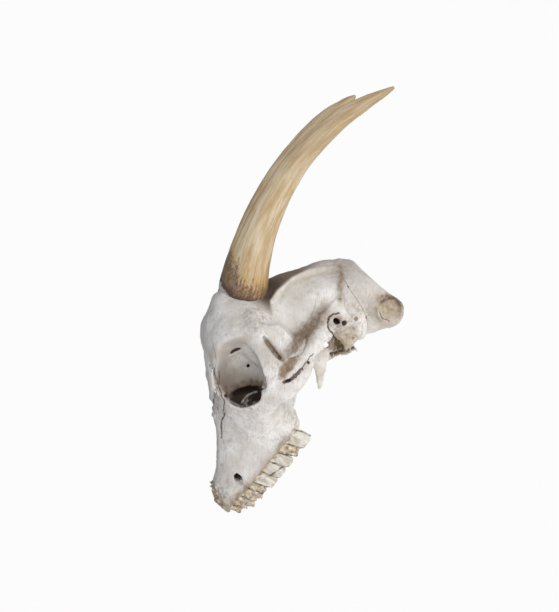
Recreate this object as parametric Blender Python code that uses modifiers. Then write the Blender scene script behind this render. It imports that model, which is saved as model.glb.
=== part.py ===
"""Skull of a goat with both bony horn cores, lying on its upper teeth and its occipital condyles.

Sizes are in millimetres until a mesh is made. In the skull's own frame the nose points along -X,
the animal's left side is -Y, up is +Z, the floor is z = 0 and the back of the head is x = 0.
"""

import math

import bmesh
import bpy
from mathutils import Matrix, Vector

# Driving dimensions, in millimetres
METRES = 0.001
CENTRE_X = -36.0            # middle of the skull's length, which becomes the origin
FIT_GAP = 0.35              # between a tooth or horn core and the bone that seats it

# Cross-sections of the head from the broken snout to the occiput. Each is a station along X and
# half an outline: top middle, top shoulder, brow, widest, lower side, tooth line, inner edge,
# bottom middle, as (half width, height).
HEAD_SECTIONS = (
    (-169.0, (0, 20), (8, 21), (13, 20), (16, 17), (17, 14.5), (15.5, 11), (8, 11), (0, 12.5)),
    (-161.0, (0, 29), (9, 29), (15, 27), (18.5, 22), (20, 17), (19, 12), (9, 12), (0, 13.5)),
    (-152.0, (0, 34), (9, 33.5), (15, 31), (20, 25), (22.5, 18), (21.5, 11.5), (10, 12), (0, 14)),
    (-140.0, (0, 45), (9.5, 44.5), (16, 40), (22, 31), (25.5, 21), (25, 11.5), (11, 13), (0, 15)),
    (-129.0, (0, 54.5), (10, 54), (18, 49.5), (25, 38), (29, 24), (27.5, 11.5), (12, 13.5), (0, 16)),
    (-118.0, (0, 64), (12, 63), (24, 58), (33.5, 47), (35.5, 30), (29.5, 11.5), (13, 13.5), (0, 16.5)),
    (-111.5, (0, 70), (14, 69), (33, 66), (40.5, 54), (39.5, 33), (30.5, 11.5), (13, 14), (0, 16.7)),
    (-106.0, (0, 76), (15, 75), (38, 72), (46, 58), (42, 36), (31, 11.5), (13, 14.5), (0, 17)),
    (-97.0, (0, 88), (19, 86.5), (41, 80), (51.5, 66), (43, 38), (29, 16), (13, 17), (0, 19)),
    (-87.0, (0, 97), (22, 95), (43, 84), (53.5, 70), (36, 40), (19, 28), (11, 27), (0, 29)),
    (-77.0, (0, 99), (22, 97.5), (40, 86), (53, 71), (30, 46), (14, 32), (8, 30), (0, 31)),
    (-67.0, (0, 98.5), (18, 96), (31, 86), (40, 71), (28, 49), (14, 34), (8, 32), (0, 32)),
    (-57.0, (0, 92), (15, 89.5), (26, 80), (31, 67), (29, 48), (15, 35), (8, 33), (0, 33)),
    (-47.0, (0, 86), (16, 84), (26, 75.5), (32, 61), (31, 45), (17, 34), (9, 32), (0, 31)),
    (-35.0, (0, 79), (14, 78), (25.5, 71), (34, 57), (33, 40), (18, 28), (9, 26), (0, 25)),
    (-22.0, (0, 69), (12, 68.5), (23.5, 62), (34, 50), (34, 34), (19, 22), (9, 20), (0, 19)),
    (-11.0, (0, 61), (12, 60.5), (22.5, 54), (33, 43), (34, 29), (20, 17), (9, 14), (0, 13)),
    (-1.0, (0, 50), (11, 49), (20, 45), (28, 36), (29, 27), (18, 18), (9, 14), (0, 13)),
)

# Rim of the orbit below and in front, as (x, half width, z)
ORBIT_RIM = (
    (-100, 45, 76.5), (-107, 40.5, 73), (-111.5, 38.5, 65), (-112, 38.5, 55.5), (-109, 42, 47.5),
    (-102, 47, 44), (-92, 52, 43.5), (-84, 55, 47), (-80.5, 56, 54),
)
ORBIT_RIM_RADIUS = 2.2
ORBIT_CENTRE = (-96.0, 52, 60)
ORBIT_RADII = (17, 24, 15.8)
ORBIT_TURN = math.radians(12)       # the opening faces a little forward

# Horn core: axis as (x, half width, z), then the half depth and the half thickness there
HORN_AXIS = (
    (-57.6, 13.2, 85.0), (-51.9, 16.4, 88.6), (-38.5, 19.6, 95.7), (-16.8, 26.0, 104.2),
    (7.0, 33.5, 109.7), (31.0, 43.0, 112.0), (59.0, 54.0, 109.2), (78.0, 62.0, 103.3),
    (91.5, 68.0, 97.7), (96.5, 70.0, 95.8),
)
HORN_HALF_DEPTH = (14.5, 13.6, 11.8, 9.8, 8.3, 7.0, 6.0, 4.2, 2.0, 0.8)
HORN_HALF_THICK = (11.8, 11.3, 10.0, 8.5, 7.2, 6.0, 4.9, 3.6, 1.8, 0.7)
HORN_KEEL = 0.16                    # how much the front edge is drawn out
HORN_SIDES = 18
HORN_STEPS = 3
# The right core rises and spreads a little more and is broken off slantwise before its tip
RIGHT_HORN_END = ((59.0, 55.4, 110.0), (77.0, 64.8, 105.8), (82.5, 67.7, 104.9), (87.0, 70.0, 104.3))
RIGHT_END_HALF_DEPTH = (6.0, 4.3, 2.9, 0.7)
RIGHT_END_HALF_THICK = (4.9, 3.6, 2.6, 0.7)

# Upper cheek teeth: name, back end and front end along X, buccal face at each end, width, lobes
TEETH = (
    ("molar_3", -104.0, -119.0, 29.4, 28.8, 11.5, 2),
    ("molar_2", -119.9, -134.6, 28.5, 26.6, 11.0, 2),
    ("molar_1", -135.5, -147.6, 26.2, 23.8, 10.0, 2),
    ("premolar_4", -148.5, -154.3, 23.4, 21.8, 8.0, 1),
    ("premolar_3", -155.2, -161.0, 21.2, 19.6, 7.0, 1),
    ("premolar_2", -161.9, -166.2, 18.8, 17.4, 5.5, 1),
)
GUM_LINE = 12.0                     # height of the sockets' rim above the floor
ROOT_DEPTH = 6.0
CROWN_LEAN = 2.6                    # the grinding faces lie this far behind the roots
LEFT_CROWN = {                      # what is left of each crown on the left, as a height above
    "molar_3": 0.0,                 # the floor
    "molar_2": 0.0,
    "molar_1": 0.0,
    "premolar_4": 0.8,
    "premolar_3": 0.6,
    "premolar_2": 5.5,
}
RIGHT_CROWN = {
    "molar_3": 0.0,
    "molar_2": 0.0,
    "molar_1": 0.0,
    "premolar_4": 1.0,
    "premolar_3": 2.0,
    "premolar_2": 4.0,
}

# Fusing and thinning of the bone mesh
MASS_VOXEL = 1.7
BONE_VOXEL = 1.25
BONE_TRIANGLES = 5600

LEFT = -1
RIGHT = 1
SIDES = ((LEFT, "left"), (RIGHT, "right"))


# ---- Scene and small helpers

def clear_scene():
    for thing in list(bpy.data.objects):
        bpy.data.objects.remove(thing, do_unlink=True)


def new_collection(name):
    group = bpy.data.collections.new(name)
    bpy.context.scene.collection.children.link(group)
    return group


def new_material(name, colour, roughness):
    material = bpy.data.materials.new(name)
    material.use_nodes = True
    shader = material.node_tree.nodes["Principled BSDF"]
    shader.inputs["Base Color"].default_value = (*colour, 1.0)
    shader.inputs["Roughness"].default_value = roughness
    shader.inputs["Metallic"].default_value = 0.0
    return material


def mesh_object(name, points, faces, group):
    """Make a mesh object from points in the skull's frame, in millimetres."""
    mesh = bpy.data.meshes.new(name)
    mesh.from_pydata([tuple(p) for p in points], [], faces)
    mesh.transform(Matrix.Scale(METRES, 4) @ Matrix.Translation((-CENTRE_X, 0, 0)))
    mesh.update()
    thing = bpy.data.objects.new(name, mesh)
    group.objects.link(thing)
    return thing


def outward(thing):
    """Turn the faces of a closed mesh outward."""
    form = bmesh.new()
    form.from_mesh(thing.data)
    bmesh.ops.recalc_face_normals(form, faces=form.faces)
    form.to_mesh(thing.data)
    form.free()
    return thing


def through(points, steps, closed=False):
    """Points of a Catmull-Rom curve that passes through the given points."""
    points = [Vector(p) for p in points]
    count = len(points)
    curve = []
    for i in range(count if closed else count - 1):
        if closed:
            a, b, c, d = (points[(i + k) % count] for k in (-1, 0, 1, 2))
        else:
            a, b, c, d = (points[min(max(i + k, 0), count - 1)] for k in (-1, 0, 1, 2))
        for step in range(steps):
            t = step / steps
            curve.append(0.5 * ((2 * b) + (c - a) * t + (2 * a - 5 * b + 4 * c - d) * t * t
                                + (3 * b - a - 3 * c + d) * t ** 3))
    if not closed:
        curve.append(points[-1])
    return curve


def loft(name, rings, group):
    """Skin a row of closed rings with the same number of points, and cap both ends."""
    count = len(rings[0])
    points = [p for ring in rings for p in ring]
    faces = []
    for r in range(len(rings) - 1):
        for i in range(count):
            j = (i + 1) % count
            faces.append((r * count + i, r * count + j, (r + 1) * count + j, (r + 1) * count + i))
    faces.append(tuple(range(count)))
    faces.append(tuple(range((len(rings) - 1) * count, len(rings) * count)))
    return outward(mesh_object(name, points, faces, group))


def ball(name, centre, radii, group, turn=Matrix.Identity(3)):
    """An ellipsoid, turned about its centre."""
    form = bmesh.new()
    bmesh.ops.create_uvsphere(form, u_segments=28, v_segments=18, radius=1.0)
    place = Matrix.Translation(centre) @ turn.to_4x4() @ Matrix.Diagonal((*radii, 1.0))
    form.transform(Matrix.Scale(METRES, 4) @ Matrix.Translation((-CENTRE_X, 0, 0)) @ place)
    mesh = bpy.data.meshes.new(name)
    form.to_mesh(mesh)
    form.free()
    thing = bpy.data.objects.new(name, mesh)
    group.objects.link(thing)
    return thing


def sweep(name, path, tall, thick, group, sides=16, steps=4, keel=0.0, up=(0, 0, 1)):
    """A bar along a curve through the path, whose half height and half thickness vary."""
    line = through(path, steps)
    sizes = through([(a, b, 0) for a, b in zip(tall, thick)], steps)
    rings = []
    for i, centre in enumerate(line):
        ahead = (line[min(i + 1, len(line) - 1)] - line[max(i - 1, 0)]).normalized()
        side = ahead.cross(Vector(up)).normalized()
        rise = side.cross(ahead)
        ring = []
        for k in range(sides):
            angle = math.tau * k / sides
            front = max(0.0, math.sin(angle)) ** 4 * keel
            ring.append(centre + rise * sizes[i].x * (math.sin(angle) + front)
                        + side * sizes[i].y * math.cos(angle) * (1 - front))
        rings.append(ring)
    return loft(name, rings, group)


def tube(name, path, radius, group, closed=False, steps=4):
    """A round bar: a curve with a bevel and filled caps, made a mesh."""
    curve = bpy.data.curves.new(name, "CURVE")
    curve.dimensions = "3D"
    curve.bevel_depth = radius * METRES
    curve.bevel_resolution = 3
    curve.use_fill_caps = True
    line = through(path, steps, closed)
    spline = curve.splines.new("POLY")
    spline.points.add(len(line) - 1)
    for knot, p in zip(spline.points, line):
        knot.co = ((p.x - CENTRE_X) * METRES, p.y * METRES, p.z * METRES, 1.0)
    spline.use_cyclic_u = closed
    guide = bpy.data.objects.new(name + "_guide", curve)
    group.objects.link(guide)
    bpy.context.view_layer.update()
    mesh = bpy.data.meshes.new_from_object(guide.evaluated_get(bpy.context.evaluated_depsgraph_get()))
    bpy.data.objects.remove(guide, do_unlink=True)
    form = bmesh.new()
    form.from_mesh(mesh)
    bmesh.ops.remove_doubles(form, verts=form.verts, dist=0.00001)
    bmesh.ops.recalc_face_normals(form, faces=form.faces)
    form.to_mesh(mesh)
    form.free()
    thing = bpy.data.objects.new(name, mesh)
    group.objects.link(thing)
    return thing


def apply_modifiers(thing):
    """Replace an object's mesh by the mesh its modifiers give."""
    bpy.context.view_layer.update()
    mesh = bpy.data.meshes.new_from_object(thing.evaluated_get(bpy.context.evaluated_depsgraph_get()))
    thing.modifiers.clear()
    thing.data = mesh
    return thing


def fuse(name, things, voxel, smoothing, group):
    """Grow closed shapes together into one body, and soften where they meet."""
    form = bmesh.new()
    for thing in things:
        form.from_mesh(thing.data)
        bpy.data.objects.remove(thing, do_unlink=True)
    mesh = bpy.data.meshes.new(name)
    form.to_mesh(mesh)
    form.free()
    body = bpy.data.objects.new(name, mesh)
    group.objects.link(body)
    remesh = body.modifiers.new("grow together", "REMESH")
    remesh.mode = "VOXEL"
    remesh.voxel_size = voxel * METRES
    if smoothing:
        soften = body.modifiers.new("soften", "SMOOTH")
        soften.factor = 0.5
        soften.iterations = smoothing
    return apply_modifiers(body)


def cut(body, cutter):
    """Take a cutter's volume out of a body."""
    boolean = body.modifiers.new("cut", "BOOLEAN")
    boolean.operation = "DIFFERENCE"
    boolean.solver = "EXACT"
    boolean.object = cutter
    cutter.hide_render = True
    cutter.display_type = "WIRE"
    return apply_modifiers(body)


def keep_largest(thing):
    """Keep the largest connected shell of a mesh."""
    form = bmesh.new()
    form.from_mesh(thing.data)
    left = set(form.verts)
    shells = []
    while left:
        shell = set()
        queue = [left.pop()]
        while queue:
            vert = queue.pop()
            shell.add(vert)
            for edge in vert.link_edges:
                other = edge.other_vert(vert)
                if other in left:
                    left.remove(other)
                    queue.append(other)
        shells.append(shell)
    shells.sort(key=len)
    for shell in shells[:-1]:
        bmesh.ops.delete(form, geom=list(shell), context="VERTS")
    form.to_mesh(thing.data)
    form.free()
    return thing


def thin_out(thing, triangles):
    """Reduce a mesh to about the given number of triangles."""
    split = thing.modifiers.new("triangles", "TRIANGULATE")
    split.min_vertices = 4
    apply_modifiers(thing)
    reduce = thing.modifiers.new("thin out", "DECIMATE")
    reduce.ratio = triangles / len(thing.data.polygons)
    reduce.use_collapse_triangulate = True
    return apply_modifiers(thing)


def sided(points, side):
    """Points given as (x, half width, z), on one side of the head."""
    return [(x, side * y, z) for x, y, z in points]


# ---- Bone of the head

def head_mass(group):
    """Face, forehead and braincase as one loft."""
    outlines = []
    for x, *half in HEAD_SECTIONS:
        right = [Vector((x, y, z)) for y, z in half]
        left = [Vector((x, -y, z)) for y, z in reversed(half[1:-1])]
        outlines.append(right + left)
    lanes = [through(lane, 3) for lane in zip(*outlines)]
    rings = [through(ring, 3, closed=True) for ring in zip(*lanes)]
    return loft("head", rings, group)


def skull_base(side, group):
    """Condyle, ear bulla, side process, mastoid, jaw seat and the front of the orbit, on one side."""
    lean = Matrix.Rotation(math.radians(35), 3, "Y")
    return [
        ball("condyle", (-10.5, side * 14.5, 10.6), (10.4, 9, 10.6), group),
        ball("bulla", (-41.5, side * 22.5, 22), (7.5, 6.5, 10), group, lean),
        sweep("side process", sided(((-21, 27, 30), (-28, 26.5, 22), (-35, 25, 14)), side),
              (8, 7, 4), (5, 4, 2.5), group, up=(1, 0, 0)),
        ball("tear bone", (-108, side * 33, 59), (7, 8, 14), group),
        ball("mastoid", (-20, side * 31, 34), (12, 5, 12), group),
        ball("jaw seat", (-50, side * 32, 37), (9, 10, 5), group),
        ball("wing of the braincase", (-64, side * 32, 52), (9, 9, 9), group),
        sweep("ear tube", sided(((-36, 22, 33.5), (-35, 38, 34)), side),
              (6.4, 6.2), (6.4, 6.2), group, up=(1, 0, 0)),
        sweep("condyle neck", sided(((-34, 6, 22), (-22, 9, 14), (-13, 12, 10)), side),
              (6, 6.5, 8), (8, 8, 8), group),
    ]


def horn_seat(side, group):
    """Bony stalk that the horn core stands on."""
    base, upper = (Vector(p) for p in sided(HORN_AXIS[:2], side))
    axis = (upper - base).normalized()
    path = (base - axis * 22, base - axis * 10, base + axis * 1.0)
    tall = (HORN_HALF_DEPTH[0] + 5, HORN_HALF_DEPTH[0] + 1.5, HORN_HALF_DEPTH[0] - 0.4)
    thick = (HORN_HALF_THICK[0] + 5, HORN_HALF_THICK[0] + 1.5, HORN_HALF_THICK[0] - 0.4)
    return sweep("horn seat", path, tall, thick, group, sides=24)


def face_bars(side, group):
    """Rim of the orbit, the bars round it, the cheek arch and the temporal ridge, on one side."""
    return [
        tube("orbit rim", sided(ORBIT_RIM, side), ORBIT_RIM_RADIUS, group),
        sweep("bar behind orbit", sided(((-69, 30, 78), (-71.5, 46, 71.5), (-75, 54.5, 60),
                                         (-79, 55, 50), (-85, 54, 40)), side),
              (8, 7.5, 6.2, 6, 7), (5, 4.5, 3, 3, 3), group, up=(1, 0, 0)),
        sweep("cheek bar", sided(((-116, 31, 33), (-106, 42, 37), (-95, 50, 37), (-84, 53.5, 34.5),
                                  (-72, 52.5, 31.5), (-61, 48, 32.5)), side),
              (9, 8, 7, 7.2, 4.8, 2.5), (5, 4, 3.4, 3, 2.6, 1.8), group),
        sweep("arch root", sided(((-34, 29, 37), (-42, 35, 38), (-51, 41, 38.5), (-61, 47, 38.3),
                                  (-72, 52, 37.4), (-83, 54.5, 37.3)), side),
              (6, 6.5, 7.5, 5.8, 3.6, 1.5), (6, 4.5, 3.4, 2.8, 2.4, 1.5), group),
        tube("temporal ridge", sided(((-50, 25.5, 71), (-41, 26, 72.5), (-31, 23.5, 70), (-20, 22, 64.5),
                                      (-11, 22, 55.5), (-9.5, 26, 49.5), (-16, 31, 44), (-23, 35, 40.5),
                                      (-31, 36, 41), (-40, 36, 42)), side), 2.0, group),
        tube("nape ridge", sided(((-10, 23, 53), (-5, 14, 53), (-3, 0, 52.5)), side), 2.2, group),
        sweep("hanging plate", sided(((-53, 32, 36), (-60, 30.5, 28.5), (-68, 29.5, 21.5),
                                      (-74.5, 29, 16.5)), side),
              (7.5, 6.5, 3.8, 0.9), (2.4, 2.0, 1.6, 0.9), group, up=(1, 0, 0)),
        sweep("wing ridge", sided(((-94, 14, 25), (-82, 12, 29), (-69, 12, 31), (-56, 13, 32)), side),
              (6, 5, 4.5, 5), (2.4, 2.2, 2.2, 2.4), group),
        sweep("bulla fringe", sided(((-43, 22, 18), (-50, 25, 20.5), (-58, 29, 24.5)), side),
              (3.5, 2.2, 2.5), (2.6, 1.8, 2.0), group),
    ]


def cavities(group):
    """Hollows of the head: orbits, nose, throat opening, brain and the hole for the spine."""
    shapes = []
    slant = Matrix.Rotation(math.radians(46), 3, "Y")
    for side, _ in SIDES:
        turn = Matrix.Rotation(side * ORBIT_TURN, 3, "Z")
        x, y, z = ORBIT_CENTRE
        shapes.append(ball("orbit", (x, side * y, z), ORBIT_RADII, group, turn))
        shapes.append(ball("orbit floor", (-103.5, side * 36, 51), (10.5, 17, 5.6), group, slant))
    shapes.append(loft("nose", [
        [Vector((x, half * math.cos(a), low + (high - low) * (0.5 + 0.5 * math.sin(a))))
         for a in (math.tau * k / 24 for k in range(24))]
        for x, half, low, high in (
            (-180, 10, 14, 60), (-160, 12, 16.5, 70), (-145, 13.5, 18, 80), (-130, 14, 19.5, 66),
            (-123, 14, 20.5, 56), (-112, 13, 22, 62), (-102, 11.5, 24, 66), (-93, 9, 29, 62))
    ], group))
    shapes.append(ball("throat", (-88, 0, 32), (11, 8.5, 13), group))
    tilt = Matrix.Rotation(math.radians(18), 3, "Y")
    shapes.append(ball("brain", (-35, 0, 53), (27, 26, 17.5), group, tilt))
    shapes.append(sweep("spine hole", ((-26, 0, 40), (-14, 0, 25), (6, 0, 15)),
                        (9, 8.5, 9), (11, 9.5, 10), group))
    return fuse("cavities", shapes, MASS_VOXEL, 0, group)


def small_holes(group):
    """Ear openings, nerve holes in the face and brow, and pits, joined as one cutter."""
    shapes = []
    for side, _ in SIDES:
        shapes.append(tube("ear", sided(((-36, 29, 33.7), (-35, 42, 34)), side), 3.2, group))
        shapes.append(tube("face nerve", sided(((-140, 18, 24), (-147, 22, 20.5), (-152, 28, 18)), side),
                           2.6, group))
        shapes.append(tube("brow nerve", sided(((-80, 20, 86), (-82, 21, 99), (-83, 21.5, 108)), side),
                           1.9, group))
        shapes.append(tube("tear duct", sided(((-108, 32, 56), (-115, 42, 59)), side), 1.4, group))
        shapes.append(tube("bowl hole", sided(((-89, 14, 59.5), (-90, 28, 59.5)), side), 1.8, group))
    return fuse("small holes", shapes, 0.8, 0, group)


# ---- Teeth and horn cores

def tooth_outline(back, front, buccal_back, buccal_front, width, lobes, grow):
    """Plan of a cheek tooth, with one bulge to each lobe on the cheek side."""
    length = back - front
    outline = []
    steps = 4 * lobes
    for k in range(steps + 1):
        t = k / steps
        bulge = 0.5 * (1 - math.cos(math.tau * t * lobes)) * width * 0.12
        x = back - t * length
        buccal = buccal_back + (buccal_front - buccal_back) * t
        outline.append(Vector((x, buccal - width * 0.12 + bulge + grow, 0)))
    for k in range(steps + 1):
        t = 1 - k / steps
        bulge = 0.5 * (1 - math.cos(math.tau * t * lobes)) * width * 0.14
        x = back - t * length
        buccal = buccal_back + (buccal_front - buccal_back) * t
        outline.append(Vector((x, buccal - width + width * 0.14 - bulge - grow, 0)))
    middle = Vector((back - length / 2, 0, 0))
    return [Vector((p.x + math.copysign(grow, p.x - middle.x), p.y, 0)) for p in outline]


def tooth_body(name, tooth, side, low, high, grow, group):
    """A cheek tooth from its cut face to its root, or the same outline as a socket."""
    outline = tooth_outline(*tooth, grow)
    middle = sum(outline, Vector()) / len(outline)
    rings = []
    for z, shrink in ((low, 1.0 if grow else 0.94), (low + 1.6, 1.0), (GUM_LINE, 1.0), (high, 0.94)):
        lean = CROWN_LEAN * (1 - z / GUM_LINE)
        rings.append([Vector((middle.x + lean + (p.x - middle.x) * shrink,
                              side * (middle.y + (p.y - middle.y) * shrink), z)) for p in outline])
    return loft(name, rings, group)


def teeth(side, side_name, crowns, group):
    made = []
    for name, *tooth in TEETH:
        made.append(tooth_body(f"{name}_{side_name}", tooth, side, crowns[name],
                               GUM_LINE + ROOT_DEPTH, 0.0, group))
    return made


def sockets(group):
    """The holes that the teeth sit in, a little wider than their roots."""
    shapes = []
    roof = GUM_LINE + ROOT_DEPTH + FIT_GAP
    for side, _ in SIDES:
        for _, *tooth in TEETH:
            shapes.append(tooth_body("socket", tooth, side, 0, roof, FIT_GAP, group))
    return shapes


def horn(side, name, grow, group):
    """A horn core, or with grow the space that it takes out of the bone."""
    tall = list(HORN_HALF_DEPTH)
    thick = list(HORN_HALF_THICK)
    path = HORN_AXIS
    if side == RIGHT:
        whole = len(path) - len(RIGHT_HORN_END)
        path = path[:whole] + RIGHT_HORN_END
        tall[whole:] = RIGHT_END_HALF_DEPTH
        thick[whole:] = RIGHT_END_HALF_THICK
    path = [Vector(p) for p in sided(path, side)]
    axis = (path[1] - path[0]).normalized()
    if grow:
        path[0] = path[0] - axis * FIT_GAP
        path = path[:4]
        tall = [size + grow for size in tall[:4]]
        thick = [size + grow for size in thick[:4]]
    return sweep(name, path, tall, thick, group, sides=HORN_SIDES, steps=HORN_STEPS, keel=HORN_KEEL)


# ---- Assembly

def build_cranium(parts, cutters):
    masses = [head_mass(parts)]
    masses.append(sweep("base bar", ((-60, 0, 38), (-48, 0, 36), (-36, 0, 27), (-25, 0, 18),
                                     (-14, 0, 10.5)), (4, 4, 5, 6, 5), (9, 8, 9, 10, 11), parts))
    for side, _ in SIDES:
        masses.extend(skull_base(side, parts))
        masses.append(horn_seat(side, parts))
    bone = fuse("cranium", masses, MASS_VOXEL, 3, parts)
    cut(bone, cavities(cutters))
    pieces = [bone]
    for side, _ in SIDES:
        pieces.extend(face_bars(side, parts))
    bone = fuse("cranium", pieces, BONE_VOXEL, 2, parts)
    cut(bone, small_holes(cutters))
    bone = keep_largest(fuse("cranium", [bone], BONE_VOXEL, 1, parts))
    thin_out(bone, BONE_TRIANGLES)
    for socket in sockets(cutters):
        cut(bone, socket)
    for side, _ in SIDES:
        cut(bone, horn(side, "horn space", FIT_GAP, cutters))
    keep_largest(bone)
    bone.name = "cranium"
    return bone


def shade(thing, material):
    thing.data.materials.clear()
    thing.data.materials.append(material)
    thing.data.shade_smooth()
    thing.data.set_sharp_from_angle(angle=math.radians(40))


def main():
    clear_scene()
    parts = new_collection("goat_skull")
    cutters = new_collection("goat_skull_cutters")
    bone = new_material("bleached bone", (0.78, 0.72, 0.63), 0.62)
    core = new_material("horn core bone", (0.58, 0.42, 0.22), 0.5)
    enamel = new_material("tooth", (0.75, 0.70, 0.60), 0.4)
    shade(build_cranium(parts, cutters), bone)
    for side, side_name in SIDES:
        shade(horn(side, f"horn_core_{side_name}", 0.0, parts), core)
        crowns = LEFT_CROWN if side == LEFT else RIGHT_CROWN
        for tooth in teeth(side, side_name, crowns, parts):
            shade(tooth, enamel)


main()
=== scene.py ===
"""Goat skull: a bleached cranium with worn upper teeth and two horn cores, on a pale floor."""
import math

import bmesh
import bpy
import numpy as np
from mathutils import Matrix, Vector, noise
from mathutils.bvhtree import BVHTree


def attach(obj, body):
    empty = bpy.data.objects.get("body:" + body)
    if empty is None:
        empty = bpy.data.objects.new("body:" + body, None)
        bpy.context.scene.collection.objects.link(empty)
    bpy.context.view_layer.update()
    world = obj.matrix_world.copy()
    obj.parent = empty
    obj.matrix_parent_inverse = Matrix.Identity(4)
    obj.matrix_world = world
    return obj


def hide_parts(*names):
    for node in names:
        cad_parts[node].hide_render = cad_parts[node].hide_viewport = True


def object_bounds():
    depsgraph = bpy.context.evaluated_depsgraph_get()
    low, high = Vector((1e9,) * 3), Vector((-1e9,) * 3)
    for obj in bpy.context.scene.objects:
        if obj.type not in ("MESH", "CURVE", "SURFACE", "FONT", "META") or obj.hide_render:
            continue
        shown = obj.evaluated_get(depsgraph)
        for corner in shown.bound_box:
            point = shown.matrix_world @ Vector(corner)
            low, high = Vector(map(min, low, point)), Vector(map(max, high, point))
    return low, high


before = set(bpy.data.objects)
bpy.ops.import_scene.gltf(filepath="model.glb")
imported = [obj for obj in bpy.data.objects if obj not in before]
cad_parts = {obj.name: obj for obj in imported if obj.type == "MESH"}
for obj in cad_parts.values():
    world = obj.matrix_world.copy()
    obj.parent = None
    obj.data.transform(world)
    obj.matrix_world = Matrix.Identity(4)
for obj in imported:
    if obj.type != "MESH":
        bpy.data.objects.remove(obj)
cad_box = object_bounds()


# ---- Camera, light and floor
# A long lens almost level with the skull and rolled so that the broken snout points down. The skull
# lies on a light table, which lights it from below, with a soft box on the camera's side.

VIEW_TURN = math.radians(0.5)
VIEW_RISE = math.radians(3.8)
VIEW_ROLL = math.radians(51.84)
VIEW_DISTANCE = 2.4
VIEW_CENTRE = Vector((-0.004, 0.0, 0.060))
VIEW_SLIDE = (-0.00866, -0.00446)       # the skull sits a little right of and below the middle
FRAME_HEIGHT = 612 * 0.00062            # what the frame covers from top to bottom, in metres
TABLE_GLOW = 0.974                      # the table and the room behind it are one even white
ROOM_GLOW = 0.36                        # how much light the room itself sheds

look = Vector((math.sin(VIEW_TURN) * math.cos(VIEW_RISE), math.cos(VIEW_TURN) * math.cos(VIEW_RISE),
               -math.sin(VIEW_RISE)))
level = Vector((math.cos(VIEW_TURN), -math.sin(VIEW_TURN), 0))
upright = level.cross(look)
view_right = math.cos(VIEW_ROLL) * level - math.sin(VIEW_ROLL) * upright
view_up = math.sin(VIEW_ROLL) * level + math.cos(VIEW_ROLL) * upright


def put_in(name, data):
    """An object of the scene that carries the given mesh, lamp or camera."""
    made = bpy.data.objects.new(name, data)
    bpy.context.scene.collection.objects.link(made)
    return made


lens_data = bpy.data.cameras.new("camera")
lens_data.sensor_width = 36
lens_data.lens = 36 * VIEW_DISTANCE / FRAME_HEIGHT
lens_data.clip_end = 20
camera = put_in("camera", lens_data)
aim = VIEW_CENTRE + view_right * VIEW_SLIDE[0] + view_up * VIEW_SLIDE[1]
camera.matrix_world = (Matrix.Translation(aim - look * VIEW_DISTANCE)
                       @ Matrix((view_right, view_up, -look)).transposed().to_4x4())
bpy.context.scene.camera = camera
bpy.context.scene.view_settings.view_transform = "Standard"


def hex_colour(code):
    """Linear colour of an sRGB hex code."""
    parts = [int(code[i:i + 2], 16) / 255 for i in (1, 3, 5)]
    return (*[c / 12.92 if c <= 0.04045 else ((c + 0.055) / 1.055) ** 2.4 for c in parts], 1.0)


def feed(tree, node, inputs):
    """Put values or links on the inputs of a node."""
    for name, value in inputs.items():
        if isinstance(value, bpy.types.NodeSocket):
            tree.links.new(value, node.inputs[name])
        else:
            node.inputs[name].default_value = value


def add_node(tree, kind, inputs=None, **settings):
    """Add a node with its settings, and with values or links on its inputs."""
    made = tree.nodes.new(kind)
    for name, value in settings.items():
        setattr(made, name, value)
    feed(tree, made, inputs or {})
    return made


def new_material(name):
    """A material, its node tree and the shader in it."""
    made = bpy.data.materials.new(name)
    made.use_nodes = True
    return made, made.node_tree, made.node_tree.nodes["Principled BSDF"]


def soft_box(name, towards, distance, size, watts):
    """A square area light that shines on the skull from the given direction."""
    data = bpy.data.lights.new(name, "AREA")
    data.size = size
    data.energy = watts
    lamp = put_in(name, data)
    way = Vector(towards).normalized()
    lamp.location = VIEW_CENTRE + way * distance
    lamp.rotation_euler = way.to_track_quat("Z", "Y").to_euler()
    return lamp


soft_box("side box", (0.30, -1.0, 0.22), 1.7, 0.9, 13)

room = bpy.data.worlds.new("pale room")
room.use_nodes = True
room.node_tree.nodes.clear()
seen_white, room_light = (
    add_node(room.node_tree, "ShaderNodeBackground", {"Color": hex_colour(code), "Strength": strength})
    for code, strength in (("#FFFFFF", TABLE_GLOW), ("#F4F7FF", ROOM_GLOW)))
ray_kind = add_node(room.node_tree, "ShaderNodeLightPath")
room_mix = add_node(room.node_tree, "ShaderNodeMixShader", {
    0: ray_kind.outputs["Is Camera Ray"], 1: room_light.outputs[0], 2: seen_white.outputs[0]})
add_node(room.node_tree, "ShaderNodeOutputWorld", {"Surface": room_mix.outputs[0]})
bpy.context.scene.world = room

floor_mesh = bpy.data.meshes.new("floor")
floor_form = bmesh.new()
bmesh.ops.create_circle(floor_form, cap_ends=True, segments=64, radius=6.0)
floor_form.to_mesh(floor_mesh)
floor_form.free()
floor = put_in("floor", floor_mesh)
# A light table: it sends out an even white glow and takes no shadow or shine.
floor_paint, floor_tree, floor_shader = new_material("backlit white acrylic")
feed(floor_tree, floor_shader, {
    "Base Color": (0, 0, 0, 1), "Roughness": 0.9, "Specular IOR Level": 0.0,
    "Emission Color": hex_colour("#FFFFFF"), "Emission Strength": TABLE_GLOW})
floor_mesh.materials.append(floor_paint)


# ---- Cranium: the masses of the skull
# All the bones of the head are fused into one: a long face broken off at the snout, forehead,
# braincase and a domed back. Sizes are in millimetres in the skull's own frame, where the nose
# points along -X, the left side is -Y and the back of the head is x = 0.

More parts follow.
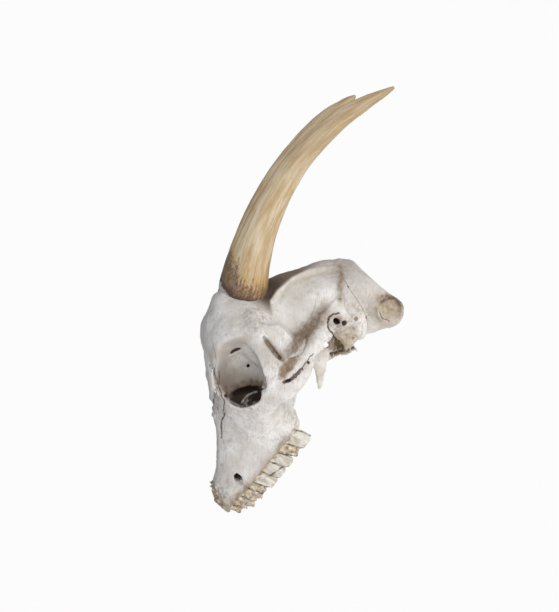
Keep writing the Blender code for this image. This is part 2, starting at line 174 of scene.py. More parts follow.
HEAD_SECTIONS = (                       # x, then half an outline from top to bottom as (half width, z)
    (-169.0, (0, 20), (8, 21), (13, 20), (16, 17), (17, 14.5), (15.5, 11), (8, 11), (0, 12.5)),
    (-161.0, (0, 29), (9, 29), (15, 27), (18.5, 22), (20, 17), (19, 12), (9, 12), (0, 13.5)),
    (-152.0, (0, 34), (9, 33.5), (15, 31), (20, 25), (22.5, 18), (21.5, 11.5), (10, 12), (0, 14)),
    (-140.0, (0, 45), (9.5, 44.5), (16, 40), (22, 31), (25.5, 21), (25, 11.5), (11, 13), (0, 15)),
    (-129.0, (0, 54.5), (10, 54), (18, 49.5), (25, 38), (29, 24), (27.5, 11.5), (12, 13.5), (0, 16)),
    (-118.0, (0, 64), (12, 63), (24, 58), (33.5, 47), (35.5, 30), (29.5, 11.5), (13, 13.5), (0, 16.5)),
    (-111.5, (0, 68.6), (14, 67.6), (33, 66), (40.5, 54), (39.5, 33), (30.5, 11.5), (13, 14), (0, 16.7)),
    (-106.0, (0, 73.6), (15, 72.8), (38, 72), (46, 58), (42, 36), (31, 11.5), (13, 14.5), (0, 17)),
    (-97.0, (0, 88), (19, 86.5), (41, 80), (51.5, 66), (43, 38), (29, 16), (13, 17), (0, 19)),
    (-87.0, (0, 95.6), (22, 93.6), (43, 84), (53.5, 70), (36, 40), (19, 28), (11, 27), (0, 29)),
    (-77.0, (0, 97.6), (22, 96), (40, 86), (53, 71), (30, 46), (14, 32), (8, 30), (0, 31)),
    (-67.0, (0, 100.5), (18, 98), (31, 86), (40, 71), (28, 49), (14, 34), (8, 32), (0, 32)),
    (-57.0, (0, 92), (15, 89.5), (26, 80), (31, 67), (29, 48), (15, 35), (8, 33), (0, 33)),
    (-47.0, (0, 83.5), (13, 80.5), (24, 72.8), (32, 61), (31, 45), (17, 34), (9, 32), (0, 31)),
    (-35.0, (0, 77.3), (14, 76.3), (25.5, 71), (34, 57), (33, 40), (18, 28), (9, 26), (0, 25)),
    (-22.0, (0, 67.8), (12, 67.3), (23.5, 62), (34, 50), (34, 34), (19, 22), (9, 20), (0, 19)),
    (-11.0, (0, 61), (12, 60.5), (22.5, 54), (33, 43), (34, 29), (20, 17), (9, 14), (0, 13)),
    (-1.0, (0, 50), (11, 49), (20, 45), (28, 36), (29, 27), (18, 18), (9, 14), (0, 13)),
)
HORN_AXIS = (
    (-57.6, 13.2, 85.0), (-51.9, 16.4, 88.6), (-38.5, 19.6, 95.7), (-16.8, 26.0, 104.2),
    (7.0, 33.5, 109.7), (31.0, 43.0, 112.0), (59.0, 54.0, 109.2), (78.0, 62.0, 103.3),
    (91.5, 68.0, 97.7), (96.5, 70.0, 95.8),
)
HORN_HALF_DEPTH = (14.5, 13.6, 11.8, 9.8, 8.3, 7.0, 6.0, 4.2, 2.0, 0.8)
HORN_HALF_THICK = (11.8, 11.3, 10.0, 8.5, 7.2, 6.0, 4.9, 3.6, 1.8, 0.7)
RIGHT_HORN_END = ((59.0, 55.4, 110.0), (77.0, 64.8, 105.8), (82.5, 67.7, 104.9), (87.0, 70.0, 104.3))
RIGHT_END_HALF_DEPTH = (6.0, 4.3, 2.9, 0.7)
RIGHT_END_HALF_THICK = (4.9, 3.6, 2.6, 0.7)
LEFT = -1
RIGHT = 1
SIDES = ((LEFT, "left"), (RIGHT, "right"))
MASS_VOXEL = 1.3
BONE_VOXEL = 0.8
HOLE_VOXEL = 0.5
TRIANGLES_KEPT = 0.59                   # share of the cranium's triangles left after thinning them out
FRAME_SHIFT = 36.0                      # the shared frame's origin lies this far in front of x = 0


def through(points, steps, closed=False):
    """Points of a Catmull-Rom curve that passes through the given points."""
    points = [Vector(p) for p in points]
    count = len(points)
    curve = []
    for i in range(count if closed else count - 1):
        if closed:
            a, b, c, d = (points[(i + k) % count] for k in (-1, 0, 1, 2))
        else:
            a, b, c, d = (points[min(max(i + k, 0), count - 1)] for k in (-1, 0, 1, 2))
        for step in range(steps):
            t = step / steps
            curve.append(0.5 * ((2 * b) + (c - a) * t + (2 * a - 5 * b + 4 * c - d) * t * t
                                + (3 * b - a - 3 * c + d) * t ** 3))
    if not closed:
        curve.append(points[-1])
    return curve


def loft(name, rings):
    """Skin a row of closed rings, with both ends capped and the faces turned outward."""
    count = len(rings[0])
    points = [tuple(p) for ring in rings for p in ring]
    faces = []
    for r in range(len(rings) - 1):
        for i in range(count):
            j = (i + 1) % count
            faces.append((r * count + i, r * count + j, (r + 1) * count + j, (r + 1) * count + i))
    faces.append(tuple(range(count)))
    faces.append(tuple(range((len(rings) - 1) * count, len(rings) * count)))
    mesh = bpy.data.meshes.new(name)
    mesh.from_pydata(points, [], faces)
    form = bmesh.new()
    form.from_mesh(mesh)
    bmesh.ops.recalc_face_normals(form, faces=form.faces)
    form.to_mesh(mesh)
    form.free()
    return put_in(name, mesh)


def ball(name, centre, radii, turn=Matrix.Identity(3)):
    form = bmesh.new()
    bmesh.ops.create_uvsphere(form, u_segments=36, v_segments=24, radius=1.0)
    form.transform(Matrix.Translation(centre) @ turn.to_4x4() @ Matrix.Diagonal((*radii, 1.0)))
    mesh = bpy.data.meshes.new(name)
    form.to_mesh(mesh)
    form.free()
    return put_in(name, mesh)


def sweep(name, path, tall, thick, up=(0, 0, 1), sides=20, steps=5):
    """A bar along a curve through the path, whose half height and half thickness vary."""
    line = through(path, steps)
    sizes = through([(a, b, 0) for a, b in zip(tall, thick)], steps)
    rings = []
    for i, centre in enumerate(line):
        ahead = (line[min(i + 1, len(line) - 1)] - line[max(i - 1, 0)]).normalized()
        side = ahead.cross(Vector(up)).normalized()
        rise = side.cross(ahead)
        rings.append([centre + rise * sizes[i].x * math.sin(math.tau * k / sides)
                      + side * sizes[i].y * math.cos(math.tau * k / sides) for k in range(sides)])
    return loft(name, rings)


def rod(name, path, radius, up=(0, 0, 1)):
    """A round bar, or with a row of radii a tapering one."""
    radii = radius if isinstance(radius, (tuple, list)) else [radius] * len(path)
    return sweep(name, path, radii, radii, sides=12, steps=5, up=up)


def plate(name, outline, inner, outer):
    """A thin upright plate with an outline of (x, z), between two distances from the midline."""
    rings = [[Vector((x, y, z)) for x, z in outline] for y in (inner, outer)]
    return loft(name, rings)


def apply_modifiers(thing):
    bpy.context.view_layer.update()
    mesh = bpy.data.meshes.new_from_object(thing.evaluated_get(bpy.context.evaluated_depsgraph_get()))
    thing.modifiers.clear()
    thing.data = mesh
    return thing


def fuse(name, things, voxel, smoothing):
    """Grow closed shapes together into one body, and soften where they meet."""
    form = bmesh.new()
    for thing in things:
        form.from_mesh(thing.data)
        bpy.data.objects.remove(thing, do_unlink=True)
    mesh = bpy.data.meshes.new(name)
    form.to_mesh(mesh)
    form.free()
    body = put_in(name, mesh)
    remesh = body.modifiers.new("grow together", "REMESH")
    remesh.mode = "VOXEL"
    remesh.voxel_size = voxel
    if smoothing:
        soften = body.modifiers.new("soften", "SMOOTH")
        soften.factor = 0.5
        soften.iterations = smoothing
    return apply_modifiers(body)


def cut(body, cutter):
    boolean = body.modifiers.new("cut", "BOOLEAN")
    boolean.operation = "DIFFERENCE"
    boolean.solver = "EXACT"
    boolean.object = cutter
    apply_modifiers(body)
    bpy.data.objects.remove(cutter, do_unlink=True)
    return body


def soften(body, marks, reach, passes):
    """Smooth a body within reach of the marks, and on both sides of the head."""
    group = body.vertex_groups.new(name="soft")
    for v in body.data.vertices:
        at = Vector((v.co.x, abs(v.co.y), v.co.z))
        near = min((at - Vector(mark)).length for mark in marks)
        if near < reach:
            group.add([v.index], min(1.0, 2 * (1 - near / reach)), "REPLACE")
    relax = body.modifiers.new("soft edge", "SMOOTH")
    relax.vertex_group = "soft"
    relax.factor = 0.5
    relax.iterations = passes
    apply_modifiers(body)
    body.vertex_groups.clear()
    return body


def sided(points, side):
    return [(x, side * y, z) for x, y, z in points]


def mirrored(rows, side):
    """Make a table's shapes on one side. A row says how, then its name, path or centre, and sizes."""
    shapes = []
    for make, name, place, *sizes in rows:
        if make is plate:
            shapes.append(plate(name, place, *(side * size for size in sizes)))
        elif make is ball:
            shapes.append(ball(name, *sided([place], side), *sizes))
        else:
            shapes.append(make(name, sided(place, side), *sizes))
    return shapes


outlines = []
for x, *half in HEAD_SECTIONS:
    outlines.append([Vector((x, y, z)) for y, z in half]
                    + [Vector((x, -y, z)) for y, z in reversed(half[1:-1])])
lanes = [through(lane, 3) for lane in zip(*outlines)]
masses = [loft("head", [through(ring, 3, closed=True) for ring in zip(*lanes)])]
masses.append(sweep("base bar", ((-60, 0, 38), (-48, 0, 36), (-36, 0, 27), (-25, 0, 18), (-14, 0, 10.5)),
                    (4, 4, 5, 6, 5), (9, 8, 9, 10, 11)))
bulla_lean = Matrix.Rotation(math.radians(35), 3, "Y")
SIDE_MASSES = (
    (ball, "condyle", (-10.5, 14.5, 10.6), (10.4, 9, 10.6)),
    (ball, "bulla", (-41.5, 22.5, 22), (7.5, 6.5, 10), bulla_lean),
    (sweep, "side process", ((-21, 27, 30), (-28, 26.5, 22), (-35, 25, 14)), (8, 7, 4), (5, 4, 2.5),
     (1, 0, 0)),
    (ball, "tear bone", (-108, 33, 59), (7, 8, 14)),
    (ball, "mastoid", (-20, 31, 34), (12, 5, 12)),
    (ball, "jaw seat", (-50, 32, 37), (9, 10, 5)),
    (sweep, "ear tube", ((-36, 22, 33.5), (-35, 38, 34)), (6.4, 6.2), (6.4, 6.2), (1, 0, 0)),
    (sweep, "condyle neck", ((-34, 6, 22), (-22, 9, 14), (-13, 12, 10)), (6, 6.5, 8), (8, 8, 8)),
    (ball, "wing of the braincase", (-66, 33, 54), (9, 10, 14)),
    (plate, "temple sheet", ((-66, 70), (-73, 66), (-77, 58), (-78, 47), (-74, 42), (-66, 43), (-59, 47),
     (-58, 60)), 36, 46.5),
)
for side, _ in SIDES:
    base, upper = (Vector(p) for p in sided(HORN_AXIS[:2], side))
    axis = (upper - base).normalized()
    masses += mirrored(SIDE_MASSES, side)
    masses.append(sweep("horn seat", (base - axis * 22, base - axis * 10, base + axis * 2.4),
                        [HORN_HALF_DEPTH[0] + grow for grow in (5, 2.6, 0.9)],
                        [HORN_HALF_THICK[0] + grow for grow in (5, 2.0, 0.3)], sides=32))
bone = fuse("cranium_bone", masses, MASS_VOXEL, 5)

hollows = []
for side, _ in SIDES:
    mouth = Vector((0.30, side, 0.46)).normalized()
    turn = Vector((0, side, 0)).rotation_difference(mouth).to_matrix()
    hollows.append(ball("orbit", (-94.0, side * 51, 63.5), (17.2, 27, 16.2), turn))
    hollows.append(ball("brow slope", (-97, side * 57, 68), (19, 20, 18)))
hollows.append(loft("nose", [
    [Vector((x, half * math.cos(a), low + (high - low) * (0.5 + 0.5 * math.sin(a))))
     for a in (math.tau * k / 32 for k in range(32))]
    for x, half, low, high in (
        (-180, 10, 14, 60), (-160, 12, 16.5, 70), (-145, 13.5, 18, 80), (-130, 14, 19.5, 66),
        (-123, 14, 20.5, 56), (-112, 13, 22, 62), (-102, 11.5, 24, 66), (-93, 9, 29, 62))]))
hollows.append(ball("throat", (-88, 0, 32), (11, 8.5, 13)))
hollows.append(ball("brain", (-35, 0, 53), (27, 26, 17.5), Matrix.Rotation(math.radians(18), 3, "Y")))
hollows.append(sweep("spine hole", ((-26, 0, 40), (-14, 0, 25), (6, 0, 15)), (9, 8.5, 9), (11, 9.5, 10)))
cut(bone, fuse("hollows", hollows, MASS_VOXEL, 0))


# ---- Cranium: rims, bars, ridges and broken edges
# Thin bone stands on the masses: the rim of the orbit, the bar behind it, the cheek arch, the ridge
# that the jaw muscle pulled on, the ear tube and the plates under the skull, some broken ragged.

BARS = (
    (rod, "orbit rim", ((-103, 43, 76.5), (-109, 40.5, 72), (-114.0, 38.5, 64.5), (-115.0, 38.5, 54.5),
     (-112.6, 41.5, 46.2), (-105, 46.5, 41.4), (-94, 51.8, 41.2), (-85, 55, 45), (-80.5, 56, 53)),
     (2.0, 1.8, 1.4, 1.4, 1.7, 2.2, 2.2, 2.2, 2.2)),
    (sweep, "bar behind orbit", ((-69, 30, 78), (-72, 46, 71.5), (-75.5, 54.3, 60), (-80, 55.2, 50),
     (-86, 54, 40)), (9, 8.4, 7.2, 7.4, 8), (5, 4.2, 2.7, 2.6, 3), (1, 0, 0)),
    (rod, "slope inside the bar", ((-83, 33, 71), (-79.5, 34.5, 66), (-79, 35.5, 60), (-80.5, 36, 54.5),
     (-83, 36, 51)), (4, 7.5, 8.5, 7.5, 4)),
    (sweep, "cheek bar", ((-116, 31, 33), (-106, 42, 37), (-95, 50, 37), (-84, 53.5, 33.2),
     (-72, 52.6, 30.2), (-61, 48, 31.6)), (9, 8, 7, 7.2, 3.7, 1.6), (5, 4, 3.4, 3, 2.6, 1.8)),
    (sweep, "arch root", ((-34, 29, 36), (-42, 35, 36), (-51, 41, 35.2), (-61, 47, 35.4), (-72, 52, 35.8),
     (-83, 54.8, 37.2)), (6, 6.4, 6.4, 4.2, 1.5, 0.8), (6, 4.5, 3.2, 2.6, 1.9, 1.0)),
    (plate, "cheek web", ((-64, 37), (-66, 40.5), (-71, 44), (-78, 48), (-87, 47), (-88, 38), (-79, 34)),
     49.4, 52.2),
    (rod, "arch crest", ((-61, 47.5, 38.6), (-67, 50.5, 37.6), (-74, 53.6, 37.0), (-80, 55.2, 37.4),
     (-84, 55.2, 39.6)), (1.0, 1.2, 1.2, 1.1, 0.9)),
    (rod, "temporal ridge", ((-50, 25.5, 71), (-41, 26, 72.5), (-31, 23.5, 70), (-20, 21.5, 63.5),
     (-11.5, 22, 54.5), (-9.5, 26, 49.5), (-16, 31, 44), (-23, 35, 40.5), (-31, 36, 41), (-40, 36, 42)),
     2.0),
    (rod, "nape ridge", ((-11, 22.5, 52), (-6, 14, 52.5), (-4, 0, 52)), 2.0),
    (plate, "back of the jaw bone", ((-92, 26), (-93.5, 20), (-95.5, 15), (-99, 11.2), (-103, 8.6),
     (-107, 11), (-108, 18), (-100, 26)), 23.0, 26.6),
    (sweep, "wing ridge", ((-94, 14, 25), (-82, 12, 29), (-69, 12, 31), (-56, 13, 32)), (6, 5, 4.5, 5),
     (2.4, 2.2, 2.2, 2.4)),
    (sweep, "bulla root", ((-43, 22, 18), (-50, 25, 20.5), (-58, 29, 24.5)), (3.5, 2.2, 2.5),
     (2.6, 1.8, 2.0)),
    (rod, "ear ring", [(-34.8 + 3.6 * math.cos(a), 38.5, 33.6 + 3.6 * math.sin(a))
     for a in (math.tau * k / 12 for k in range(13))], 1.4, (0, 1, 0)),
    (sweep, "brow sliver", ((-96, 24, 82), (-108, 18.5, 71), (-115, 14, 64.8), (-121.2, 11, 61.2)),
     (3.0, 2.4, 1.7, 0.9), (6, 4.5, 3.0, 1.2), (0, 0, 1)),
    (rod, "nasal sliver", ((-108, 22, 66), (-116, 17, 62), (-121.6, 14, 59.2)), (2.2, 1.4, 0.8)),
    (rod, "short sliver", ((-112, 20, 62), (-121, 15, 57.6), (-129.0, 12, 54.2)), (2.2, 1.6, 0.8)),
    (rod, "condyle rim", [(-8.9 + 7.6 * math.cos(a), 22.4 - 1.2 * math.cos(a), 10.5 + 7.4 * math.sin(a))
     for a in (math.tau * k / 16 for k in range(-3, 9))], 1.3, (0, 1, 0)),
)
HANGING_PLATES = {                      # the far one has lost its tip
    LEFT: ((-52, 36), (-62, 33), (-65.8, 29.4), (-66.4, 24.9), (-69.6, 21.2), (-74.6, 16.2), (-73.6, 14.6),
           (-71, 15.2), (-66, 18.2), (-62.4, 18.8), (-59.5, 21.2), (-51.5, 24.6), (-48, 32)),
    RIGHT: ((-52, 36), (-61, 34), (-64, 28.6), (-66.5, 26.2), (-62.5, 25.8), (-60, 23.6), (-54, 25.3),
            (-49, 32)),
}
bars = [bone]
for side, _ in SIDES:
    bars += mirrored(BARS, side)
    bars.append(plate("hanging plate", HANGING_PLATES[side], side * 28.6, side * 31.2))
bone = fuse("cranium_bone", bars, BONE_VOXEL, 2)
SOFT_ORBIT = (
    (-104, 44, 76), (-98, 44, 79.5), (-92, 46, 80.5), (-86, 49, 80), (-81, 51.5, 77), (-77.5, 53, 71.5),
    (-76.5, 54.5, 65), (-79, 55, 59), (-82, 55, 54), (-87, 53, 50), (-82, 49, 72), (-81.5, 50, 66),
    (-82.5, 50, 60), (-84.5, 50, 54), (-86, 42, 72), (-85, 42, 66), (-85.5, 42, 59), (-86.5, 42, 53),
    (-90, 38, 74))
SOFT_TEMPLE = (
    (-66, 46, 66), (-70, 46, 60), (-70, 46, 52), (-64, 44, 60), (-62, 42, 50), (-60, 38, 66),
    (-66, 42, 72), (-57, 36, 56), (-66, 46, 46))
soften(bone, SOFT_ORBIT, 10.5, 110)
soften(bone, SOFT_TEMPLE, 9.0, 70)

HOLES = (
    (sweep, "ear", ((-35.2, 32.5, 33.2), (-34.8, 44, 33.5)), (1.5, 2.0), (2.3, 2.5), (1, 0, 0)),
    (sweep, "ear slit", ((-33.4, 32.0, 28.5), (-32.6, 46, 28.8)), (1.4, 1.7), (2.2, 2.4), (1, 0, 0)),
    (sweep, "notch round the ear", ((-31, 36, 37.4), (-35.5, 36, 39.2), (-39.4, 36, 38.0), (-42.0, 35, 34.5),
     (-43.2, 34, 30.0), (-44.6, 33, 27.0)), (0.4, 0.55, 0.6, 0.6, 0.6, 0.5), (8, 8, 8, 8, 8, 7),
     (0.01, 0, 1)),
    (sweep, "face nerve", ((-140, 17, 26), (-147.5, 21, 20.5), (-152, 27, 17)), (2.0, 2.6, 3.4),
     (2.4, 2.6, 3.0)),
    (rod, "brow nerve", ((-80, 20, 86), (-82, 21, 99), (-83, 21.5, 108)), 1.8, (1, 0, 0)),
    (rod, "tear duct", ((-109, 34, 57), (-114, 42, 59)), 1.1),
    (rod, "optic hole", ((-89, 8, 58.5), (-89.6, 32, 58.5)), 1.25, (1, 0, 0)),
    (sweep, "cleft behind the bar", ((-69.6, 51.5, 64.5), (-70.9, 51.5, 60.6), (-72.6, 51, 55.0),
     (-74.0, 50.5, 50.0), (-74.8, 50, 45.8)), (0.8, 1.9, 2.3, 2.0, 1.2), (4, 6.5, 7.5, 7.5, 6), (1, 0, 0)),
    (rod, "hole in the cleft", ((-74.2, 60, 46.9), (-73.6, 34, 47.6)), 0.95, (1, 0, 0)),
    (ball, "orbit floor", (-104.4, 38, 47.8), (11.8, 17, 6.6), Matrix.Rotation(math.radians(41), 3, "Y")),
    (rod, "gap before the ear", ((-50.4, 60, 30.6), (-50.2, 24, 28.6)), 2.1, (1, 0, 0)),
    (rod, "gap under the arch", ((-65.5, 60, 32.6), (-65.5, 50.5, 32.6)), 1.2, (1, 0, 0)),
    (ball, "hollow of the condyle", (-8.9, 25.2, 10.5), (7.2, 3.0, 7.2)),
    (sweep, "slot under the arch", ((-62, 56, 33.3), (-70, 57, 33.4), (-78, 58, 34.2), (-83.4, 58, 36.8)),
     (0.3, 0.45, 0.5, 0.3), (5, 5, 4.2, 3.6)),
    (sweep, "crescent over the orbit", ((-94.8, 40, 72.8), (-91, 40, 72.2), (-88, 41, 70.9),
     (-85.4, 42, 69.2)), (0.4, 0.9, 1.3, 0.7), (9, 10, 10, 9)),
    *((ball, "notch of the slot", (x, 56, z), (radius, 4.5, radius * 0.9))
      for x, z, radius in ((-83.2, 36.6, 0.9), (-81.6, 35.4, 1.3), (-79.4, 34.6, 0.9), (-77.4, 34.0, 1.3),
                           (-75.2, 33.8, 0.9), (-73.0, 33.6, 0.9))),
)
holes = [hole for side, _ in SIDES for hole in mirrored(HOLES, side)]
cut(bone, fuse("holes", holes, HOLE_VOXEL, 0))
SHELVES = (
    (sweep, "shelf in the orbit", ((-110.5, 38, 48.0), (-106.5, 33.5, 48.2), (-102, 32, 46.8),
     (-98.5, 33.5, 44.2)), (0.7, 0.9, 0.9, 0.7), (1.4, 2.2, 2.2, 1.4)),
    (sweep, "second shelf", ((-111, 35, 46.0), (-107.5, 29, 45.4), (-104.4, 28, 43.6)), (0.9, 1.3, 0.8),
     (1.6, 2.4, 1.4)),
)
shelves = [bone] + [shelf for side, _ in SIDES for shelf in mirrored(SHELVES, side)]
bone = fuse("cranium_bone", shelves, BONE_VOXEL, 1)
thin_out = bone.modifiers.new("fewer triangles where it is even", "DECIMATE")
thin_out.ratio = TRIANGLES_KEPT
apply_modifiers(bone)


# ---- Cranium: surface detail and paint masks
# Low relief on the bone (lumps, cracks, sutures, frayed edges) and, kept on every point, how much of
# each colour it gets: painted shade where it is sheltered, in its holes and on faces turned from the
# light, stains, grime and dark lines where they lie on it.

FAR_OFF = 99.0                          # a gap no mask reaches across, in mm


def read(mesh, what):
    values = np.empty(len(mesh.vertices) * 3, dtype=np.float32)
    mesh.vertices.foreach_get(what, values)
    return values.reshape(-1, 3).astype(float)


def ramp(value, low, high):
    t = np.clip((value - low) / (high - low), 0, 1)
    return t * t * (3 - 2 * t)


def lumps(points, size, seed, octaves=3):
    """Smooth seeded noise from about -1 to 1, with features of the given size."""
    shift = Vector((seed * 17.3, seed * 5.1, seed * 9.7))
    return np.array([noise.fractal(Vector(p) / size + shift, 1.0, 2.0, octaves) for p in points])


def line_gap(at, line):
    """Signed and plain gap from points (x, z) to a line of (x, z) marks."""
    signed = np.full(len(at), FAR_OFF)
    plain = np.full(len(at), FAR_OFF)
    marks = [np.array(m, dtype=float) for m in line]
    for a, b in zip(marks[:-1], marks[1:]):
        run = b - a
        length = math.hypot(*run)
        t = np.clip((at - a) @ run / length ** 2, 0, 1)
        off = at - a - t[:, None] * run
        gap = np.hypot(off[:, 0], off[:, 1])
        beside = (run[0] * (at[:, 1] - a[1]) - run[1] * (at[:, 0] - a[0])) / length
        nearer = gap < plain
        plain = np.where(nearer, gap, plain)
        signed = np.where(nearer, beside, signed)
    return signed, plain


def fade(gap, reach):
    """1 where the gap is nothing, falling away over the reach."""
    return np.exp(-(gap / reach) ** 2)


def smudge(at, x, z, long, high):
    """A soft patch round (x, z) on the sides of the skull."""
    return np.exp(-((at[:, 0] - x) / long) ** 2 - ((at[:, 2] - z) / high) ** 2)


def inside_patch(at, outline, soft):
    """1 inside an outline of (x, z) marks, falling to 0 over the soft distance round its edge."""
    marks = [np.array(m, dtype=float) for m in outline]
    _, edge = line_gap(at, outline + outline[:1])
    within = np.zeros(len(at), dtype=bool)
    for a, b in zip(marks, marks[1:] + marks[:1]):
        crosses = (a[1] > at[:, 1]) != (b[1] > at[:, 1])
        rise = b[1] - a[1] if b[1] != a[1] else 1e-9
        within ^= crosses & (at[:, 0] < (b[0] - a[0]) * (at[:, 1] - a[1]) / rise + a[0])
    return ramp(np.where(within, edge, -edge), -soft, soft)


def keep_mask(mesh, name, values):
    layer = mesh.attributes.new(name, "FLOAT", "POINT")
    layer.data.foreach_set("value", np.asarray(values, dtype=np.float32))


# Sutures and cracks on the side of the skull, as (x, z) marks with the width of the dark line
CRACKS = (
    (0.14, [(-28.3, 52.2), (-33, 50.6), (-39.3, 47.8), (-46, 47.0), (-51.9, 45.8), (-58.1, 46.6),
            (-64.5, 47.8)]),
    (0.20, [(-10.4, 48.5), (-12.9, 43.5), (-14.6, 38.7), (-16.6, 31.9), (-19.2, 25.1), (-23.5, 16.6)]),
    (0.10, [(-22.1, 37.0), (-25.2, 34.9), (-26.2, 29.3), (-27.4, 24.6), (-29.5, 21.5)]),
    (0.06, [(-131.1, 45.4), (-128.2, 41.3), (-124.7, 37.3), (-123.2, 30.8), (-118.6, 25.2), (-111.5, 23.2),
            (-105.3, 23.4), (-97.1, 23.5)]),
    (0.32, [(-104, 69.5), (-108.1, 66.8), (-113.4, 64.6), (-119.4, 61.3), (-123, 57.5)]),
    (0.38, [(-104, 76), (-109, 67.5), (-113.0, 62.2), (-116.1, 56.9), (-121, 53.0), (-127.8, 49.3),
            (-134, 44.0)]),
    (0.20, [(-93, 84), (-98.8, 77.0), (-105.3, 73.4), (-110.7, 68.3), (-117.5, 60.5)]),
    (0.34, [(-60.7, 33.7), (-67.2, 33.5), (-73.2, 34.4), (-79.1, 35.2), (-83.0, 37.4)]),
    (0.02, [(-52.1, 70.9), (-55.7, 62.7), (-59.6, 55.8), (-67.6, 51.0)]),
    (0.32, [(-14.8, 14.0), (-15.8, 10.8), (-15.0, 7.8)]),
    (0.12, [(-11.5, 17.2), (-7.5, 17.4), (-4.0, 15.2), (-2.6, 11.5)]),
    (0.55, [(-31.0, 36.0), (-33.0, 37.8), (-35.8, 38.4), (-39.0, 37.4), (-41.6, 34.2), (-42.6, 30.0),
            (-43.6, 26.5)]),
    (0.06, [(-16, 23), (-12, 21.5), (-8, 20.5)]),
    (0.10, [(-70, 50), (-74.5, 47.6), (-80, 46.0), (-85.5, 43.8)]),
    (0.16, [(-92.0, 20.5), (-95.0, 17.0), (-99.5, 14.2), (-103, 13)]),
    (1.0, [(-83.4, 36.8), (-80.5, 35.4), (-77.5, 34.4), (-74.0, 33.8), (-71.0, 33.8)]),
)

# The wall is every point with nothing of the skull standing outside it on its own side
start = read(bone.data, "co")
normal = read(bone.data, "normal")
side_at = start[:, (0, 2)]
sx, sy, sz = start.T
tree = BVHTree.FromPolygons([Vector(p) for p in start], [tuple(p.vertices) for p in bone.data.polygons])
wall = np.zeros(len(start))
for i, (p, n) in enumerate(zip(start, normal)):
    side = LEFT if p[1] < 0 else RIGHT
    if abs(p[1]) > 6 and n[1] * side > -0.2:
        origin = Vector(p) + Vector(n) * 0.4
        wall[i] = tree.ray_cast(origin, Vector((0, side, 0)))[0] is None

# The gap to the nearest crack, signed and plain, and that crack's width
gap = np.full(len(start), FAR_OFF)
near = np.full(len(start), FAR_OFF)
width = np.full(len(start), 0.5)
for size, line in CRACKS:
    smooth_line = [(p.x, p.z) for p in through([(x, 0, z) for x, z in line], 4)]
    wave = [(x + 0.5 * noise.noise(Vector((x * 0.6, z * 0.6, 3))),
             z + 0.5 * noise.noise(Vector((z * 0.6, x * 0.6, 8)))) for x, z in smooth_line]
    signed, plain = line_gap(side_at, wave)
    closer = plain < near
    gap = np.where(closer, signed, gap)
    width = np.where(closer, size, width)
    near = np.where(closer, plain, near)
near = np.where(wall > 0, near, FAR_OFF)

# Relief: how far each point is pushed out along its normal
push = 0.35 * lumps(start, 9.0, 1) + 0.16 * lumps(start, 2.6, 2)
push -= 0.3 * width * fade(near, 0.7 * width + 0.35)
snout = ramp(-sx, 157, 163)
push += snout * (1.2 * lumps(start, 2.8, 4) - 0.2)
tuber = smudge(start, -98, 15, 7, 7)
push += tuber * (0.3 + 1.5 * lumps(start, 3.0, 5))
prongs = smudge(start, -70, 19, 6, 6)
push += 1.1 * prongs * lumps(start, 2.4, 23)
bulla = smudge(start, -41, 20, 8, 9) * ramp(np.abs(sy), 14, 20)
flutes = np.sin((sx * 0.97 - sz * 0.25) * math.tau / 2.9 + lumps(start, 6.0, 9) * 1.5)
push += 0.45 * bulla * flutes
condyle_bone = smudge(start, -9, 11, 9, 9) * ramp(np.abs(sy), 6, 12)
push += 0.35 * condyle_bone * lumps(start, 1.8, 12)
dorsal_step = ramp(-sx, 121.4, 122.2) * (1 - ramp(-sx, 122.2, 131)) * ramp(normal[:, 2], 0.2, 0.5)
push -= 1.5 * dorsal_step
nape_drop = np.where(sz > 44, 4.2, 8.5)
nape = fade(sz - 44, nape_drop) * fade(sy, 19) * ramp(sx, -8, -3) * ramp(normal[:, 0], 0.1, 0.6)
push += 3.3 * nape
moved = start + normal * push[:, None]
low_corner = np.array([cad_box[0][0] * 1000 - FRAME_SHIFT, -1e3, 0.0])
moved = np.maximum(moved, low_corner)
mx, my, mz = moved.T
aside = np.abs(my)
bone.data.vertices.foreach_set("co", moved.astype(np.float32).ravel())
bone.data.update()

# Shelter: how much of the sky above each point of the surface is covered, near by and far off; it is
# painted in as shade in crevices and deep hollows
normal = read(bone.data, "normal")
tree = BVHTree.FromPolygons([Vector(p) for p in moved], [tuple(p.vertices) for p in bone.data.polygons])
GOLDEN_ANGLE = math.radians(137.508)    # turns the rays so that they spread evenly
ray_count = 14
rays = []
for k in range(ray_count):
    rise = math.sqrt(1 - (k + 0.5) / ray_count * 0.94)
    swing = k * GOLDEN_ANGLE
    out = math.sqrt(1 - rise * rise)
    rays.append((out * math.cos(swing), out * math.sin(swing), rise))
NEAR_REACH = 7.0
FAR_REACH = 45.0
crevice = np.zeros(len(moved))
deep = np.zeros(len(moved))
for i, (p, n) in enumerate(zip(moved, normal)):
    n = Vector(n)
    across = n.orthogonal().normalized()
    beside = n.cross(across)
    origin = Vector(p) + n * 0.25
    for a, b, c in rays:
        reach = tree.ray_cast(origin, across * a + beside * b + n * c, FAR_REACH)[3]
        if reach is not None:
            deep[i] += 1
            if reach < NEAR_REACH:
                crevice[i] += 1 - reach / NEAR_REACH
crevice /= ray_count
deep /= ray_count


def away(x, z):
    """Distance of every point, seen from the side, from (x, z)."""
    return np.hypot(mx - x, mz - z)


def dots(marks):
    """Distance to the edge of the nearest dot of (x, z, radius) on the outer faces."""
    return np.where(wall > 0, np.min([away(x, z) - radius for x, z, radius in marks], axis=0), 9.0)
